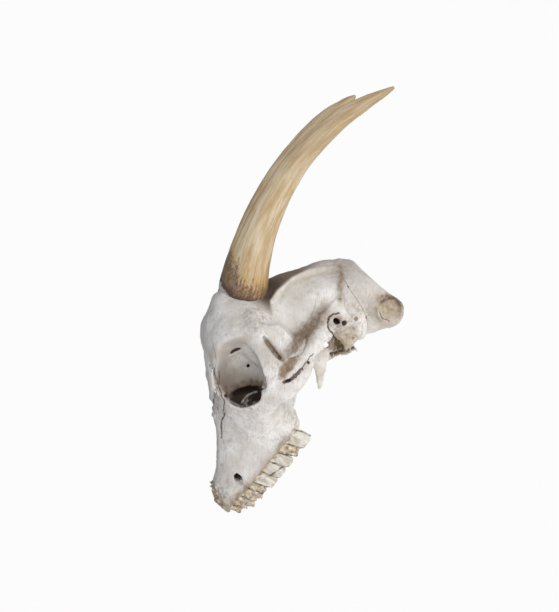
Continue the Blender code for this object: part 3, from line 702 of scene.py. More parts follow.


# Holes: painted shade in the hollow behind the lower orbit, with a ragged edge and paler shelves in it,
# in every deep hollow and in the nerve and ear holes, and a band of dirt along the upper edge of the condyle
across_hole = (mx + 104.4) * 0.66 + (mz - 47.8) * 0.75
along_hole = (mx + 104.4) * 0.75 - (mz - 47.8) * 0.66
off_hole = np.hypot(across_hole / 7.2, along_hole / 12.4)
ragged_edge = 0.22 * lumps(moved, 3.4, 11)
hole = (1 - ramp(off_hole + ragged_edge, 0.72, 1.05)) * (1 - ramp(aside, 38, 44)) * (aside > 8)
hole_rim = off_hole + 1.6 * ragged_edge
near_hole = fade(np.maximum(hole_rim - 0.9, 0), 0.36) * ramp(across_hole, -3, 3) * (aside < 42)
hole = np.max([hole, ramp(deep, 0.86, 0.97), 0.8 * near_hole * (0.75 + 0.5 * lumps(moved, 2.6, 31))], axis=0)
off_shelf = np.min([np.linalg.norm(np.abs(moved) * (-1, 1, 1) - np.array(mark), axis=1)
                    for mark in through(SHELVES[0][2], 10)], axis=0)
hole *= 1 - 0.7 * (1 - ramp(off_shelf, 2.0, 4.6)) * ramp(lumps(moved, 3.0, 21), -0.6, 0.2)
off_disc = away(-8.9, 10.5)
upper_edge = ramp(((mx + 8.9) * 0.9 + (mz - 10.5) * 0.44) / np.maximum(off_disc, 0.1), 0.1, 0.7) * (aside > 8)
dirt_band = fade(off_disc - 7.2, 1.1) * upper_edge * np.clip(0.7 + 1.4 * lumps(moved, 1.8, 41), 0, 1)
hole = np.maximum(hole, dirt_band)
nerve = np.max([1 - ramp(away(x, z), 1.8, 3.0)
                for x, z in ((-147.3, 21.6), (-148.8, 18.6), (-146.4, 16.8))], axis=0)
ear_holes = np.maximum(1 - ramp(away(-32.9, 28.7), 1.6, 2.3), 1 - ramp(away(-34.9, 33.5), 1.8, 2.4))
ear_holes *= 1 - ramp(aside, 35.0, 39.0)
hole = np.max([0.97 * hole, nerve * ramp(crevice, 0.10, 0.24), ear_holes], axis=0)

# Browner in the temporal hollow; brown stain on the arch, along ridges and sockets, round the ear and
# snout; and painted shade down the cleft behind the bar
side_at = moved[:, (0, 2)]
FOSSA_BAND = [(-69.3, 48), (-65.8, 47.6), (-55.9, 49.1), (-45.6, 47.8), (-36.4, 47.2), (-30, 46),
              (-33.3, 40.2), (-40.6, 37.6), (-47.5, 38.4), (-55.4, 38.5), (-65.8, 39.7), (-71, 43)]
ARCH_PATCH = [(-85, 41), (-79, 44.5), (-70, 43.5), (-64, 40), (-67, 38), (-74, 38), (-82, 38)]
BACK_RIDGE = ((-6.7, 51.4), (-11.3, 47.7), (-16.6, 44.7), (-22.8, 40))
CLEFT = ((-71.4, 59.5), (-72.4, 53), (-73.8, 45.6))
CONDYLE_EDGE = ((-7.5, 20.5), (-3.2, 17), (-2.2, 12), (-4, 7), (-8, 4))
sockets = fade(mz - 13.0 - 1.5 * lumps(moved, 4.0, 51), 1.7) * ramp(-mx, 100, 106)
sockets *= 0.35 + 0.65 * np.maximum(fade(mx + 116, 4.5), ramp(-mx, 143, 150))
stain = np.max([
    0.95 * inside_patch(side_at, FOSSA_BAND, 4.0) * wall,
    1.1 * inside_patch(side_at, ARCH_PATCH, 1.5) * wall,
    0.95 * fade(line_gap(side_at, BACK_RIDGE)[1], 2.1) * wall,
    0.9 * fade(line_gap(side_at, CLEFT)[1], 2.3) * wall,
    0.8 * fade(line_gap(side_at, CONDYLE_EDGE)[1], 1.8),
    0.95 * fade(off_disc - 7.6, 1.3) * upper_edge,
    0.7 * ramp(off_disc, 2.0, 6.0) * (1 - ramp(off_disc, 8.5, 11)) * upper_edge,
    0.9 * fade(hole_rim - 1.05, 0.18) * ramp(across_hole, -4, 3) * (aside < 46),
    0.65 * (1 - ramp(away(-36, 33), 4.0, 6.0)) * wall,
    0.65 * smudge(moved, -46, 22, 7, 6),
    0.85 * sockets,
    0.6 * ramp(-mz, -14.5, -11.5) * ramp(-mx, 103, 108),
    0.8 * ramp(-mx, 161, 167)], axis=0)

# Painted shade: greyer on faces that turn upward, at the back, on the condyle, over and behind the orbit,
# and in patches on the face, forehead and temple
TEMPORAL_LINE = [(-56, 66), (-50, 72.4), (-42, 72.6), (-31, 70.3), (-20, 65), (-12, 58), (-8, 54)]
BROW = ((-97, 79), (-88.7, 76.5), (-78, 72.5))
top = ramp(normal[:, 2] * 0.75 - normal[:, 0] * 0.25, 0.15, 0.85)
beyond = line_gap(side_at, TEMPORAL_LINE)[0]
# The roof behind the temporal line is painted darker, as shade on faces that turn from the light and as
# stain, and darkest next to the horn's root
roof = ramp(beyond, -0.6, 1.2) * ramp(mx, -60, -50) * (1 - ramp(mx, -26, -8)) * ramp(mz, 60, 64)
under_horn = roof * (1 - ramp(np.hypot(mx + 45.5, (aside - 22) * 0.6), 4.0, 17.0))
shade = np.max([
    0.35 * top * (0.25 + 0.75 * ramp(mx, -66, -56)),
    0.55 * ramp(mx, -27, -12) * ramp(mz, 14, 24),
    0.85 * condyle_bone,
    0.75 * fade(line_gap(side_at, BROW)[1], 4.6) * wall,
    0.5 * smudge(moved, -67, 89, 6, 6),
    0.45 * smudge(moved, -152, 22, 9, 9),
    0.5 * (1 - ramp(mz, 13, 20)) * ramp(-mx, 104, 112),
    0.6 * smudge(moved, -79, 56, 6, 11),
    0.35 * smudge(moved, -104, 38, 9, 6),
    0.35 * ramp(mz + mx * 0.5, -22, -14) * ramp(-mx, 126, 134),
    0.25 * smudge(moved, -32, 60, 14, 9)], axis=0)
# Painted shade in the orbit's bowl, darkest towards the hole in its floor and faint on the side by the bar
orbit_out = np.hypot((mx + 96.5) / 17.5, (mz - 60) / 17)
toward_hole = ramp(-(mx + 91) * 0.75 - (mz - 70) * 0.66, -6, 20)
bowl = (1 - ramp(orbit_out, 0.65, 1.15)) * (1 - ramp(aside, 42, 52)) * (aside > 14)
bowl *= (0.35 + 0.65 * toward_hole) * (1 - 0.85 * ramp(mx, -98, -86))

# Grime gathers in patches (x, z, reach, amount); dots are dark pits and rust-brown flecks
GRIME = (
    (-76, 42, 9, 0.8), (-112, 58, 9, 0.7), (-62, 73, 12, 0.6), (-38, 23, 12, 1.0), (-9, 11, 11, 0.9),
    (-164, 20, 10, 1.0), (-106, 46, 9, 0.7), (-84, 47, 9, 0.5), (-98, 19, 7, 0.6), (-22, 26, 9, 0.7),
    (-132, 40, 8, 0.5), (-120, 33, 8, 0.4), (-116, 14, 10, 0.4), (-150, 14, 8, 0.6), (-10, 50, 8, 0.5),
    (-124, 57, 9, 0.6))
EVEN_GRIME = 0.12
patches = [amount * fade(away(x, z), reach) for x, z, reach, amount in GRIME]
grime = np.maximum(EVEN_GRIME, np.max(patches, axis=0))
spot = dots((
    (-112.5, 58.6, 1.0), (-79.9, 50.1, 0.2), (-58.6, 75.3, 0.3), (-63, 78.3, 0.1), (-54.1, 72.4, 0.1),
    (-70.4, 78.4, 0.1), (-61.4, 70.2, 0.1), (-22.8, 40, 0.45), (-16.6, 44.7, 0.2), (-14.0, 40.6, 0.5),
    (-14.6, 38.6, 0.5), (-28.3, 52.2, 0.25), (-65.5, 32.5, 0.9)))
rust = dots((
    (-26.3, 24.3, 1.3), (-32.3, 21.7, 0.9), (-36.6, 18.2, 0.9), (-21.5, 19.5, 1.0), (-148, 32.6, 0.6),
    (-17.0, 45.6, 0.6), (-113.5, 66.0, 0.5), (-121.5, 31.5, 0.4), (-120.5, 28.5, 0.4), (-3.5, 17.5, 0.6),
    (-2.6, 14.6, 0.8), (-5.0, 19.6, 0.7), (-1.9, 11.6, 0.6), (-2.8, 8.6, 0.4), (-66, 40, 0.5),
    (-109, 41.5, 0.4), (-139, 27, 0.3), (-152, 24, 0.4)))
temple_top = fade(beyond + 3.5, 3.0) * (1 - ramp(mx, -14, -6)) * ramp(mx, -52, -42)
tan = np.max([0.9 * bulla, 0.45 * temple_top * wall, 0.9 * condyle_bone,
              0.35 * smudge(moved, -70, 22, 7, 7)], axis=0)
porous = np.max([0.9 * smudge(moved, -62, 74, 12, 7) * wall, 0.8 * smudge(moved, -9, 10, 7, 7) * wall,
                 0.4 * ramp(-mx, 150, 160)], axis=0)
BONE_MASKS = {
    "bowl": bowl, "hole": hole, "roof": roof, "under horn": under_horn, "grime": grime, "rust": rust,
    "tan": tan, "crevice": crevice, "stain": stain, "shade": shade, "spot": spot, "porous": porous,
    "line gap": gap, "line near": near, "line width": width}
for name, values in BONE_MASKS.items():
    keep_mask(bone.data, name, values)


# Sun-bleached bone: a dry, chalky surface, so it is rough, with a faint sheen where it was handled.
bleached, shades, bone_shader = new_material("sun-bleached bone")

where = add_node(shades, "ShaderNodeTexCoord").outputs["Object"]
in_mm = add_node(shades, "ShaderNodeMapping", {"Vector": where, "Scale": (1000, 1000, 1000)}).outputs[0]
along_face = add_node(shades, "ShaderNodeMapping", {
    "Vector": in_mm, "Rotation": (0, math.radians(-38), 0), "Scale": (9.0, 1.0, 1.0)},
    vector_type="TEXTURE").outputs[0]
on_bone = {"pits": add_node(shades, "ShaderNodeTexVoronoi", {
    "Vector": in_mm, "Scale": 0.55, "Randomness": 1.0}).outputs["Distance"]}
for name, pattern_at, scale, detail, rough in (
        ("cloud", in_mm, 0.07, 4.0, 0.5), ("blotch", in_mm, 0.35, 5.0, 0.65), ("grit", in_mm, 1.6, 4.0, 0.7),
        ("streak", along_face, 0.9, 3.0, 0.6), ("speck", in_mm, 1.1, 3.0, 0.75)):
    on_bone[name] = add_node(shades, "ShaderNodeTexNoise", {
        "Vector": pattern_at, "Scale": scale, "Detail": detail, "Roughness": rough}).outputs["Fac"]
for name in BONE_MASKS:
    on_bone[name] = add_node(shades, "ShaderNodeAttribute", attribute_name=name).outputs["Fac"]

STEP_NODES = {                          # what a step does: its node, the sockets it fills, settings, result
    "RANGE": ("ShaderNodeMapRange", ("Value", "From Min", "From Max", "To Min", "To Max"),
              {"interpolation_type": "SMOOTHSTEP"}, 0),
    "PAINT": ("ShaderNodeMix", (0, 6, 7), {"data_type": "RGBA"}, 2),
}


def work_out(tree, known, step):
    """A number, colour or known pattern as it is, or the result of what a step does to others."""
    if isinstance(step, str):
        return hex_colour(step) if step.startswith("#") else known[step]
    if not isinstance(step, tuple):
        return step
    does, *given = step
    sum_node = ("ShaderNodeMath", (0, 1, 2), {"operation": does}, 0)
    kind, sockets, settings, result = STEP_NODES.get(does, sum_node)
    inputs = {socket: work_out(tree, known, value) for socket, value in zip(sockets, given)}
    return add_node(tree, kind, inputs, **settings).outputs[result]


def paint(tree, known, base, layers):
    """Lay colours over a base, each where its step says."""
    known["skin"] = hex_colour(base)
    for colour, part in layers:
        known["skin"] = work_out(tree, known, ("PAINT", part, "skin", colour))
    return known["skin"]


# A crack is a dark line, as wide as its mask says, that wanders and breaks up
for name, step in (
        ("wobble", ("MULTIPLY_ADD", "grit", 0.8, -0.4)),
        ("wander", ("MULTIPLY_ADD", "blotch", 2.2, -1.1)),
        ("off line", ("ABSOLUTE", ("MULTIPLY_ADD", "wobble", 0.35, ("ADD", "line gap", "wander")))),
        ("line", ("RANGE", ("SUBTRACT", "off line", "line width"), -0.24, 0.2, 1.0, 0.0)),
        ("line", ("MULTIPLY", "line", ("RANGE", "line near", 1.3, 2.0, 1.0, 0.0))),
        ("line", ("MULTIPLY", "line", ("RANGE", "line width", 0.0, 0.45, 0.45, 1.0))),
        ("line", ("MULTIPLY", "line", ("RANGE", "grit", 0.32, 0.56, 0.5, 1.0))),
        ("specks", ("MULTIPLY", ("RANGE", "speck", 0.60, 0.68), ("RANGE", "grime", 0.0, 0.9, 0.18, 1.0))),
        ("pores", ("MULTIPLY", ("RANGE", "pits", 0.12, 0.3, 0.8, 0.0), "porous")),
        ("height", ("SUBTRACT", ("MULTIPLY_ADD", "streak", 0.5, ("MULTIPLY", "grit", 0.35)), "pores")),
        ("height", ("MULTIPLY_ADD", "line", -0.8, ("MULTIPLY_ADD", "specks", -0.6, "height"))),
        ("rough", ("RANGE", "grit", 0.3, 0.7, 0.58, 0.78))):
    on_bone[name] = work_out(shades, on_bone, step)
# Colours over the bleached white: the shade, roof, under horn, bowl, crevice and hole layers are painted
# shade (the roof partly stain, the hole layer also dirt on the condyle), and the stain layer holds painted
# shade down the cleft behind the bar
bone_skin = paint(shades, on_bone, "#F3F1EE", (
    ("#DDD8D2", ("RANGE", "cloud", 0.36, 0.66)),
    ("#D8CBB6", ("RANGE", "blotch", 0.50, 0.74, 0.0, 0.7)),
    ("#BEB4A9", ("RANGE", "streak", 0.50, 0.74, 0.0, 0.5)),
    ("#A79A8C", ("MULTIPLY", "shade", 0.8)),
    ("#7D6E60", "roof"),
    ("#463A33", ("MULTIPLY", "under horn", 0.8)),
    ("#75685A", ("MULTIPLY", "bowl", 0.9)),
    ("#BFAB86", ("MULTIPLY", "tan", 0.75)),
    ("#A08F7C", ("MULTIPLY", "grime", ("RANGE", "blotch", 0.40, 0.66, 0.0, 0.8))),
    ("#8E7861", ("MULTIPLY", "stain", ("RANGE", "blotch", 0.3, 0.6, 0.6, 1.0))),
    ("#776553", ("RANGE", "crevice", 0.12, 0.5, 0.0, 0.92)),
    ("#35281F", "hole"),
    ("#54402F", "line"),
    ("#3C2F26", ("RANGE", ("ADD", "spot", "wobble"), -0.2, 0.35, 1.0, 0.0)),
    ("#8C6845", ("RANGE", ("MULTIPLY_ADD", "wobble", 2.0, "rust"), -0.4, 0.5, 0.85, 0.0)),
    ("#6A5A4B", ("MULTIPLY", "specks", 0.75)),
    ("#8B7A69", "pores")))
relief = add_node(shades, "ShaderNodeBump", {
    "Strength": 0.6, "Distance": 0.0004, "Height": on_bone["height"]})
feed(shades, bone_shader, {
    "Base Color": bone_skin, "Normal": relief.outputs[0], "Roughness": on_bone["rough"], "IOR": 1.53,
    "Specular IOR Level": 0.35})


def finish(piece, material, slot, *nodes):
    """Scale a piece to metres in the shared frame, and hand it over in place of its solid."""
    piece.data.transform(Matrix.Scale(0.001, 4) @ Matrix.Translation((FRAME_SHIFT, 0, 0)))
    inside = np.clip(read(piece.data, "co"), cad_box[0], cad_box[1])
    piece.data.vertices.foreach_set("co", inside.astype(np.float32).ravel())
    piece.data.materials.clear()
    piece.data.materials.append(material)
    piece.data.shade_smooth()
    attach(piece, "root")
    if nodes:
        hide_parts(*nodes)
    return piece


finish(bone, bleached, "bone", "cranium")


# ---- Broken edges and dried fringe
# Small splinters along edges: blunt chips of bone round the broken snout, and a fringe of dried sinew
# that still hangs from the ear bone. One node tree scatters them on a path.

splinter_tree = bpy.data.node_groups.new("splinters along an edge", "GeometryNodeTree")
SPLINTER_INPUTS = {}
for title, kind, default in (
        ("Edge", "Geometry", None), ("Count", "Int", 24), ("Length", "Float", 2.0), ("Foot", "Float", 0.3),
        ("Tip", "Float", 0.0), ("Way", "Vector", (0, 0, -1)), ("Spread", "Float", 0.4), ("Seed", "Int", 1),
        ("Material", "Material", None)):
    socket = splinter_tree.interface.new_socket(title, in_out="INPUT", socket_type="NodeSocket" + kind)
    SPLINTER_INPUTS[title] = socket.identifier
    if default is not None:
        socket.default_value = default
splinter_tree.interface.new_socket("Splinters", in_out="OUTPUT", socket_type="NodeSocketGeometry")
given = add_node(splinter_tree, "NodeGroupInput").outputs
edge_line = add_node(splinter_tree, "GeometryNodeMeshToCurve", {"Mesh": given["Edge"]}).outputs[0]
feet = add_node(splinter_tree, "GeometryNodeResampleCurve", {
    "Curve": edge_line, "Count": given["Count"]}).outputs[0]
one = add_node(splinter_tree, "GeometryNodeMeshCone", {
    "Vertices": 7, "Side Segments": 2, "Radius Top": given["Tip"], "Radius Bottom": given["Foot"],
    "Depth": given["Length"]}).outputs["Mesh"]
stray = add_node(splinter_tree, "FunctionNodeRandomValue", {
    0: (-1, -1, -1), 1: (1, 1, 1), "Seed": given["Seed"]}, data_type="FLOAT_VECTOR").outputs[0]
stray = add_node(splinter_tree, "ShaderNodeVectorMath", {
    0: stray, "Scale": given["Spread"]}, operation="SCALE").outputs[0]
pointing = add_node(splinter_tree, "ShaderNodeVectorMath", {
    0: given["Way"], 1: stray}, operation="ADD").outputs[0]
turned = add_node(splinter_tree, "FunctionNodeAlignRotationToVector", {
    "Vector": pointing}, axis="Z").outputs[0]
growth = add_node(splinter_tree, "FunctionNodeRandomValue", {
    2: 0.35, 3: 1.3, "Seed": given["Seed"]}, data_type="FLOAT").outputs[1]
placed = add_node(splinter_tree, "GeometryNodeInstanceOnPoints", {
    "Points": feet, "Instance": one, "Rotation": turned, "Scale": growth}).outputs[0]
made_real = add_node(splinter_tree, "GeometryNodeRealizeInstances", {0: placed}).outputs[0]
painted = add_node(splinter_tree, "GeometryNodeSetMaterial", {
    "Geometry": made_real, "Material": given["Material"]}).outputs[0]
add_node(splinter_tree, "NodeGroupOutput", {0: painted})


def splinters(name, path, material, slot, **values):
    """Scatter splinters on a path, and hand them over as one plain mesh."""
    points = [tuple(p) for p in through(path, 6)]
    mesh = bpy.data.meshes.new(name)
    mesh.from_pydata(points, [(i, i + 1) for i in range(len(points) - 1)], [])
    piece = put_in(name, mesh)
    scatter = piece.modifiers.new("splinters", "NODES")
    scatter.node_group = splinter_tree
    scatter[SPLINTER_INPUTS["Material"]] = material
    for title, value in values.items():
        scatter[SPLINTER_INPUTS[title]] = value
    apply_modifiers(piece)
    return finish(piece, material, slot)


# Broken bone, stained brown where its spongy inside shows: rougher and duller than the outer skin.
spongy, spongy_tree, spongy_shader = new_material("broken spongy bone")
spongy_at = add_node(spongy_tree, "ShaderNodeMapping", {
    "Vector": add_node(spongy_tree, "ShaderNodeTexCoord").outputs["Object"], "Scale": (1000, 1000, 1000)})
on_break = {"cells": add_node(spongy_tree, "ShaderNodeTexNoise", {
    "Vector": spongy_at.outputs[0], "Scale": 0.7, "Detail": 4.0}).outputs["Fac"]}
spongy_skin = paint(spongy_tree, on_break, "#8A7358", (("#CDBFA8", ("RANGE", "cells", 0.4, 0.6)),))
feed(spongy_tree, spongy_shader, {"Base Color": spongy_skin, "Roughness": 0.8, "IOR": 1.53})

# Dried sinew: thin brown fibres with a dull, slightly waxy surface.
sinew, sinew_tree, sinew_shader = new_material("dried sinew")
feed(sinew_tree, sinew_shader, {"Base Color": hex_colour("#65513A"), "Roughness": 0.65, "IOR": 1.5})

EAR_EDGE = ((-53.2, 29.5, 24.6), (-50.0, 28.8, 21.8), (-46.5, 27.5, 19.0), (-43.0, 26.5, 16.5),
            (-40.5, 25.5, 14.6))
EAR_ROOT = ((-43, 31, 27.5), (-46.5, 30.5, 25), (-43, 30, 24.5), (-47.5, 29.5, 22.5), (-43.5, 29, 21.5),
            (-46.5, 28.5, 19))
SNOUT_EDGE = ((-160.4, 9.5, 29.0), (-163.2, 12.5, 26.0), (-165.4, 14.2, 22.6), (-166.6, 15.2, 19.0),
              (-165.8, 16, 15.0), (-163.5, 16.5, 12.8))
for side, side_name in SIDES:
    splinters(f"ear_fringe_{side_name}", sided(EAR_EDGE, side), sinew, "bone", Count=110, Length=3.4,
              Foot=0.2, Tip=0.04, Way=(-0.35, side * 0.25, -0.9), Spread=0.7, Seed=4)
    splinters(f"ear_root_fringe_{side_name}", sided(EAR_ROOT, side), sinew, "bone", Count=130, Length=2.4,
              Foot=0.22, Tip=0.05, Way=(-0.3, side * 0.3, -0.9), Spread=0.55, Seed=9)
    splinters(f"snout_chips_{side_name}", sided(SNOUT_EDGE, side), spongy, "bone", Count=44, Length=1.5,
              Foot=0.6, Tip=0.3, Way=(-0.2, side * 0.3, -0.1), Spread=1.0, Seed=3)


# ---- Horn cores
# Two curved cores of dense bone that once carried the horn sheaths: oval, keeled in front, fluted
# along their length, warm tan, and dark and ragged at the root. The right tip is broken slantwise.

HORN_SIDES = 96
HORN_KEEL = 0.16
RING_SIDE = 2.9                         # where the sheath ended, along the core from its foot: at the
RING_FRONT = 3.5                        # side, and how much further up at the front and the back
RING_BACK = -1.0


def horn_core(side, name):
    """A swept oval with a keel; its grain runs along it, kept as a vector on the surface."""
    path = HORN_AXIS
    tall = list(HORN_HALF_DEPTH)
    thick = list(HORN_HALF_THICK)
    if side == RIGHT:
        whole = len(path) - len(RIGHT_HORN_END)
        path = path[:whole] + RIGHT_HORN_END
        tall[whole:] = RIGHT_END_HALF_DEPTH
        thick[whole:] = RIGHT_END_HALF_THICK
    path = [Vector(p) for p in sided(path, side)]
    line = through(path, 28)
    sizes = through([(a, b, 0) for a, b in zip(tall, thick)], 28)
    rings = []
    grain = []
    above = []
    run = 0.0
    for i, centre in enumerate(line):
        ahead = (line[min(i + 1, len(line) - 1)] - line[max(i - 1, 0)]).normalized()
        across = ahead.cross(Vector((0, 0, 1))).normalized()
        rise = across.cross(ahead)
        run += (centre - line[max(i - 1, 0)]).length
        ring = []
        for k in range(HORN_SIDES):
            angle = math.tau * k / HORN_SIDES
            front = max(0.0, math.sin(angle)) ** 4 * HORN_KEEL
            way = (rise * sizes[i].x * (math.sin(angle) + front)
                   + across * sizes[i].y * math.cos(angle) * (1 - front))
            round_at = Vector((math.cos(angle), math.sin(angle), run * 0.012))
            flute = noise.fractal(round_at * 3.0 + Vector((side * 9.0, 0, 0)), 1.0, 2.0, 3)
            flute = 0.1 - abs(flute) * 0.45 - 0.10 * (noise.noise(round_at * 12.0) + 1)
            ring.append(centre + way * (1 + flute / max(way.length, 2.5)))
            grain.append((math.cos(angle), math.sin(angle), run))
            ring_rise = RING_FRONT if angle < math.pi else RING_BACK
            above.append(run - RING_SIDE - ring_rise * math.sin(angle) ** 2)
        rings.append(ring)
    core = loft(name, rings)
    layer = core.data.attributes.new("grain", "FLOAT_VECTOR", "POINT")
    layer.data.foreach_set("vector", np.array(grain, dtype=np.float32).ravel())
    keep_mask(core.data, "above ring", above)
    return core


# Horn-core bone: dense and a little waxy, stained by the sheath, so smoother and warmer than the skull.
waxy, warm, core_shader = new_material("horn-core bone")
grain_at = add_node(warm, "ShaderNodeAttribute", attribute_name="grain").outputs["Vector"]
on_core = {"around": add_node(warm, "ShaderNodeSeparateXYZ", {0: grain_at}).outputs["Y"],
           "above ring": add_node(warm, "ShaderNodeAttribute", attribute_name="above ring").outputs["Fac"]}
for name, round_scale, along_mm, detail, rough in (      # patches along_mm long, drawn out along the horn
        ("bands", 2.2, 26.0, 3.0, 0.55), ("fibres", 9.0, 40.0, 4.0, 0.6),
        ("cracks", 13.0, 34.0, 2.0, 0.55), ("warm patch", 1.6, 14.0, 3.0, 0.6),
        ("speckle", 9.0, 2.6, 4.0, 0.7), ("mottle", 14.0, 1.3, 3.0, 0.7)):
    drawn_out = add_node(warm, "ShaderNodeMapping", {
        "Vector": grain_at, "Scale": (round_scale, round_scale, 1 / along_mm)}).outputs[0]
    on_core[name] = add_node(warm, "ShaderNodeTexNoise", {
        "Vector": drawn_out, "Scale": 1.0, "Detail": detail, "Roughness": rough}).outputs["Fac"]
# The root is mottled dark where the sheath sat, ragged and streaked above, and higher up in front
for name, step in (
        ("top", ("MULTIPLY_ADD", "fibres", 24.0, ("MULTIPLY_ADD", "speckle", 26.0, "above ring"))),
        ("top", ("SUBTRACT", "top", ("RANGE", "around", -0.1, 0.9, 0.0, 10.0))),
        ("rim", ("MULTIPLY_ADD", "speckle", 5.0, "above ring")),
        ("band", ("MULTIPLY_ADD", "fibres", 9.0, "rim")),
        ("height", ("MULTIPLY_ADD", "bands", 1.2, "fibres")),
        ("height", ("SUBTRACT", "height", ("RANGE", "cracks", 0.65, 0.71, 0.0, 0.8)))):
    on_core[name] = work_out(warm, on_core, step)
core_skin = paint(warm, on_core, "#DCCAAB", (
    ("#C2A67C", ("RANGE", "bands", 0.36, 0.66)),
    ("#A5855A", ("RANGE", "fibres", 0.50, 0.72, 0.0, 0.55)),
    ("#E6DAC6", ("RANGE", "bands", 0.66, 0.78, 0.0, 0.8)),
    ("#C8904A", ("RANGE", "warm patch", 0.56, 0.74, 0.0, 0.55)),
    ("#7A552F", ("RANGE", "cracks", 0.65, 0.71, 0.0, 0.75)),
    ("#9C7F56", ("RANGE", "above ring", 70.0, 115.0, 0.0, 0.28)),
    ("#D0A462", ("MULTIPLY", ("RANGE", "above ring", 30.0, 4.0),
                 ("RANGE", "warm patch", 0.38, 0.62, 0.2, 0.85))),
    ("#5B4A46", ("MULTIPLY", ("RANGE", "top", 29.5, 37.5, 0.88, 0.0),
                 ("RANGE", "mottle", 0.34, 0.60, 0.55, 1.0))),
    ("#56443F", ("RANGE", "band", 10.6, 8.2, 0.0, 0.75)),
    ("#5A473B", ("RANGE", "rim", 4.7, 3.1, 0.0, 0.9)),
    ("#CFC6BC", ("RANGE", "rim", 2.3, 1.1))))
core_relief = add_node(warm, "ShaderNodeBump", {
    "Strength": 0.5, "Distance": 0.0004, "Height": on_core["height"]})
feed(warm, core_shader, {
    "Base Color": core_skin, "Normal": core_relief.outputs[0], "Roughness": 0.5, "IOR": 1.53,
    "Specular IOR Level": 0.4})

for side, side_name in SIDES:
    finish(horn_core(side, f"horn_{side_name}"), waxy, "horn_core", f"horn_core_{side_name}")


# ---- Cheek teeth
# Six upper teeth a side, each of one or two leaning lobes of ivory enamel round brown dentine. On the
# left the back molar has lost its front lobe, and the front teeth are broken down to stubs and roots.

TOOTH_VOXEL = 0.42
CROWN_LEAN = 4.4                        # the grinding ends lie this far behind the roots
GUM_LINE = 12.0
CHEEK_FACE = ((-104, 29.4), (-119, 28.8), (-134.6, 26.6), (-147.6, 23.8), (-154.3, 21.8), (-161, 19.6),
              (-166.2, 17.4))           # x, and how far the cheek side of the row is from the midline
# Each tooth's lobes: x at the root, half length, half width, height of the tip, and how brown it is
WHOLE_TEETH = {
    "molar_3": ((-108.9, 4.0, 5.0, 0.0, 0.0), (-116.4, 3.7, 4.8, 0.0, 0.0)),
    "molar_2": ((-124.5, 3.7, 4.8, 0.0, 0.0), (-132.0, 3.6, 4.6, 0.0, 0.0)),
    "molar_1": ((-139.8, 3.4, 4.4, 0.0, 0.0), (-145.9, 2.9, 4.0, 0.0, 0.1)),
    "premolar_4": ((-152.4, 2.9, 3.6, 1.0, 0.1),),
    "premolar_3": ((-159.1, 2.9, 3.2, 2.0, 0.1),),
    "premolar_2": ((-164.8, 2.1, 2.5, 4.0, 0.3),),
}
BROKEN_TEETH = {
    "molar_3": ((-108.1, 5.2, 5.0, 0.0, 0.0), (-116.8, 3.3, 3.4, 1.0, 1.0)),
    "molar_2": ((-124.4, 3.6, 4.7, 0.2, 0.05), (-132.4, 4.2, 5.0, 0.0, 0.0)),
    "molar_1": ((-140.2, 4.3, 5.1, 0.0, 0.0), (-147.0, 2.3, 3.0, 1.8, 0.95)),
    "premolar_4": ((-151.4, 2.5, 3.2, 1.2, 0.85), (-154.4, 1.9, 3.0, 3.0, 0.55)),
    "premolar_3": ((-157.9, 2.2, 2.9, 2.2, 0.65), (-161.0, 2.0, 2.9, 4.2, 0.75)),
    "premolar_2": ((-164.9, 2.1, 2.6, 5.4, 0.9),),
}

# Tooth enamel: ivory, streaked down the crown, smoother than bone, over brown dentine where it is broken,
# with painted shade in the gaps between the lobes and dark cracks.
enamel, ivory, tooth_shader = new_material("worn tooth enamel")
where = add_node(ivory, "ShaderNodeTexCoord").outputs["Object"]
down_crown, all_round = (add_node(ivory, "ShaderNodeMapping", {"Vector": where, "Scale": scale}).outputs[0]
                         for scale in ((1000, 1000, 300), (1000, 1000, 1000)))
on_tooth = {}
for name, pattern_at, scale, detail, rough in (
        ("streak", down_crown, 0.4, 5.0, 0.5), ("fine streak", down_crown, 1.5, 4.0, 0.5),
        ("break", all_round, 0.42, 4.0, 0.6)):
    on_tooth[name] = add_node(ivory, "ShaderNodeTexNoise", {
        "Vector": pattern_at, "Scale": scale, "Detail": detail, "Roughness": rough}).outputs["Fac"]
for name in ("dentine", "slot"):
    on_tooth[name] = add_node(ivory, "ShaderNodeAttribute", attribute_name=name).outputs["Fac"]
on_tooth["broken"] = paint(ivory, on_tooth, "#866448", (
    ("#D9BE90", ("RANGE", "break", 0.40, 0.54)), ("#EDE6D8", ("RANGE", "break", 0.54, 0.66))))
tooth_skin = paint(ivory, on_tooth, "#E2DED5", (
    ("#C6BAA6", ("RANGE", "streak", 0.38, 0.62)), ("broken", "dentine"), ("#43332A", "slot")))
tooth_relief = add_node(ivory, "ShaderNodeBump", {
    "Strength": 0.5, "Distance": 0.0004, "Height": on_tooth["fine streak"]})
feed(ivory, tooth_shader, {
    "Base Color": tooth_skin, "Normal": tooth_relief.outputs[0], "Roughness": 0.45, "IOR": 1.62})


def cheek_face(x):
    """How far from the midline the cheek side of the tooth row is."""
    return float(np.interp(-x, [-a for a, _ in CHEEK_FACE], [b for _, b in CHEEK_FACE]))


def tooth_lobe(x, length, width, tip, side):
    """One lobe of a crown, from its root in the bone to its worn end, fattest below the gum."""
    centre = cheek_face(x) - width
    steps = ((GUM_LINE + 6, -0.3, 0.60, 0.60), (GUM_LINE + 1, 0.0, 0.78, 0.80), (8.8, 0.26, 1.02, 0.98),
             (4.8, 0.58, 1.10, 1.04), (1.8, 0.84, 0.94, 0.88), (0.0, 1.0, 0.66, 0.62))
    kept = [row for row in steps if row[0] > tip + 1.2]
    share = 1 - tip / GUM_LINE
    kept.append((tip, share, 0.80, 0.74))
    path = [(x + CROWN_LEAN * lean, centre + 0.8 * math.sin(math.pi * lean), z) for z, lean, _, _ in kept]
    return sweep("lobe", sided(path, side), [length * part for _, _, part, _ in kept],
                 [width * part for _, _, _, part in kept], sides=28, up=(1, 0, 0))


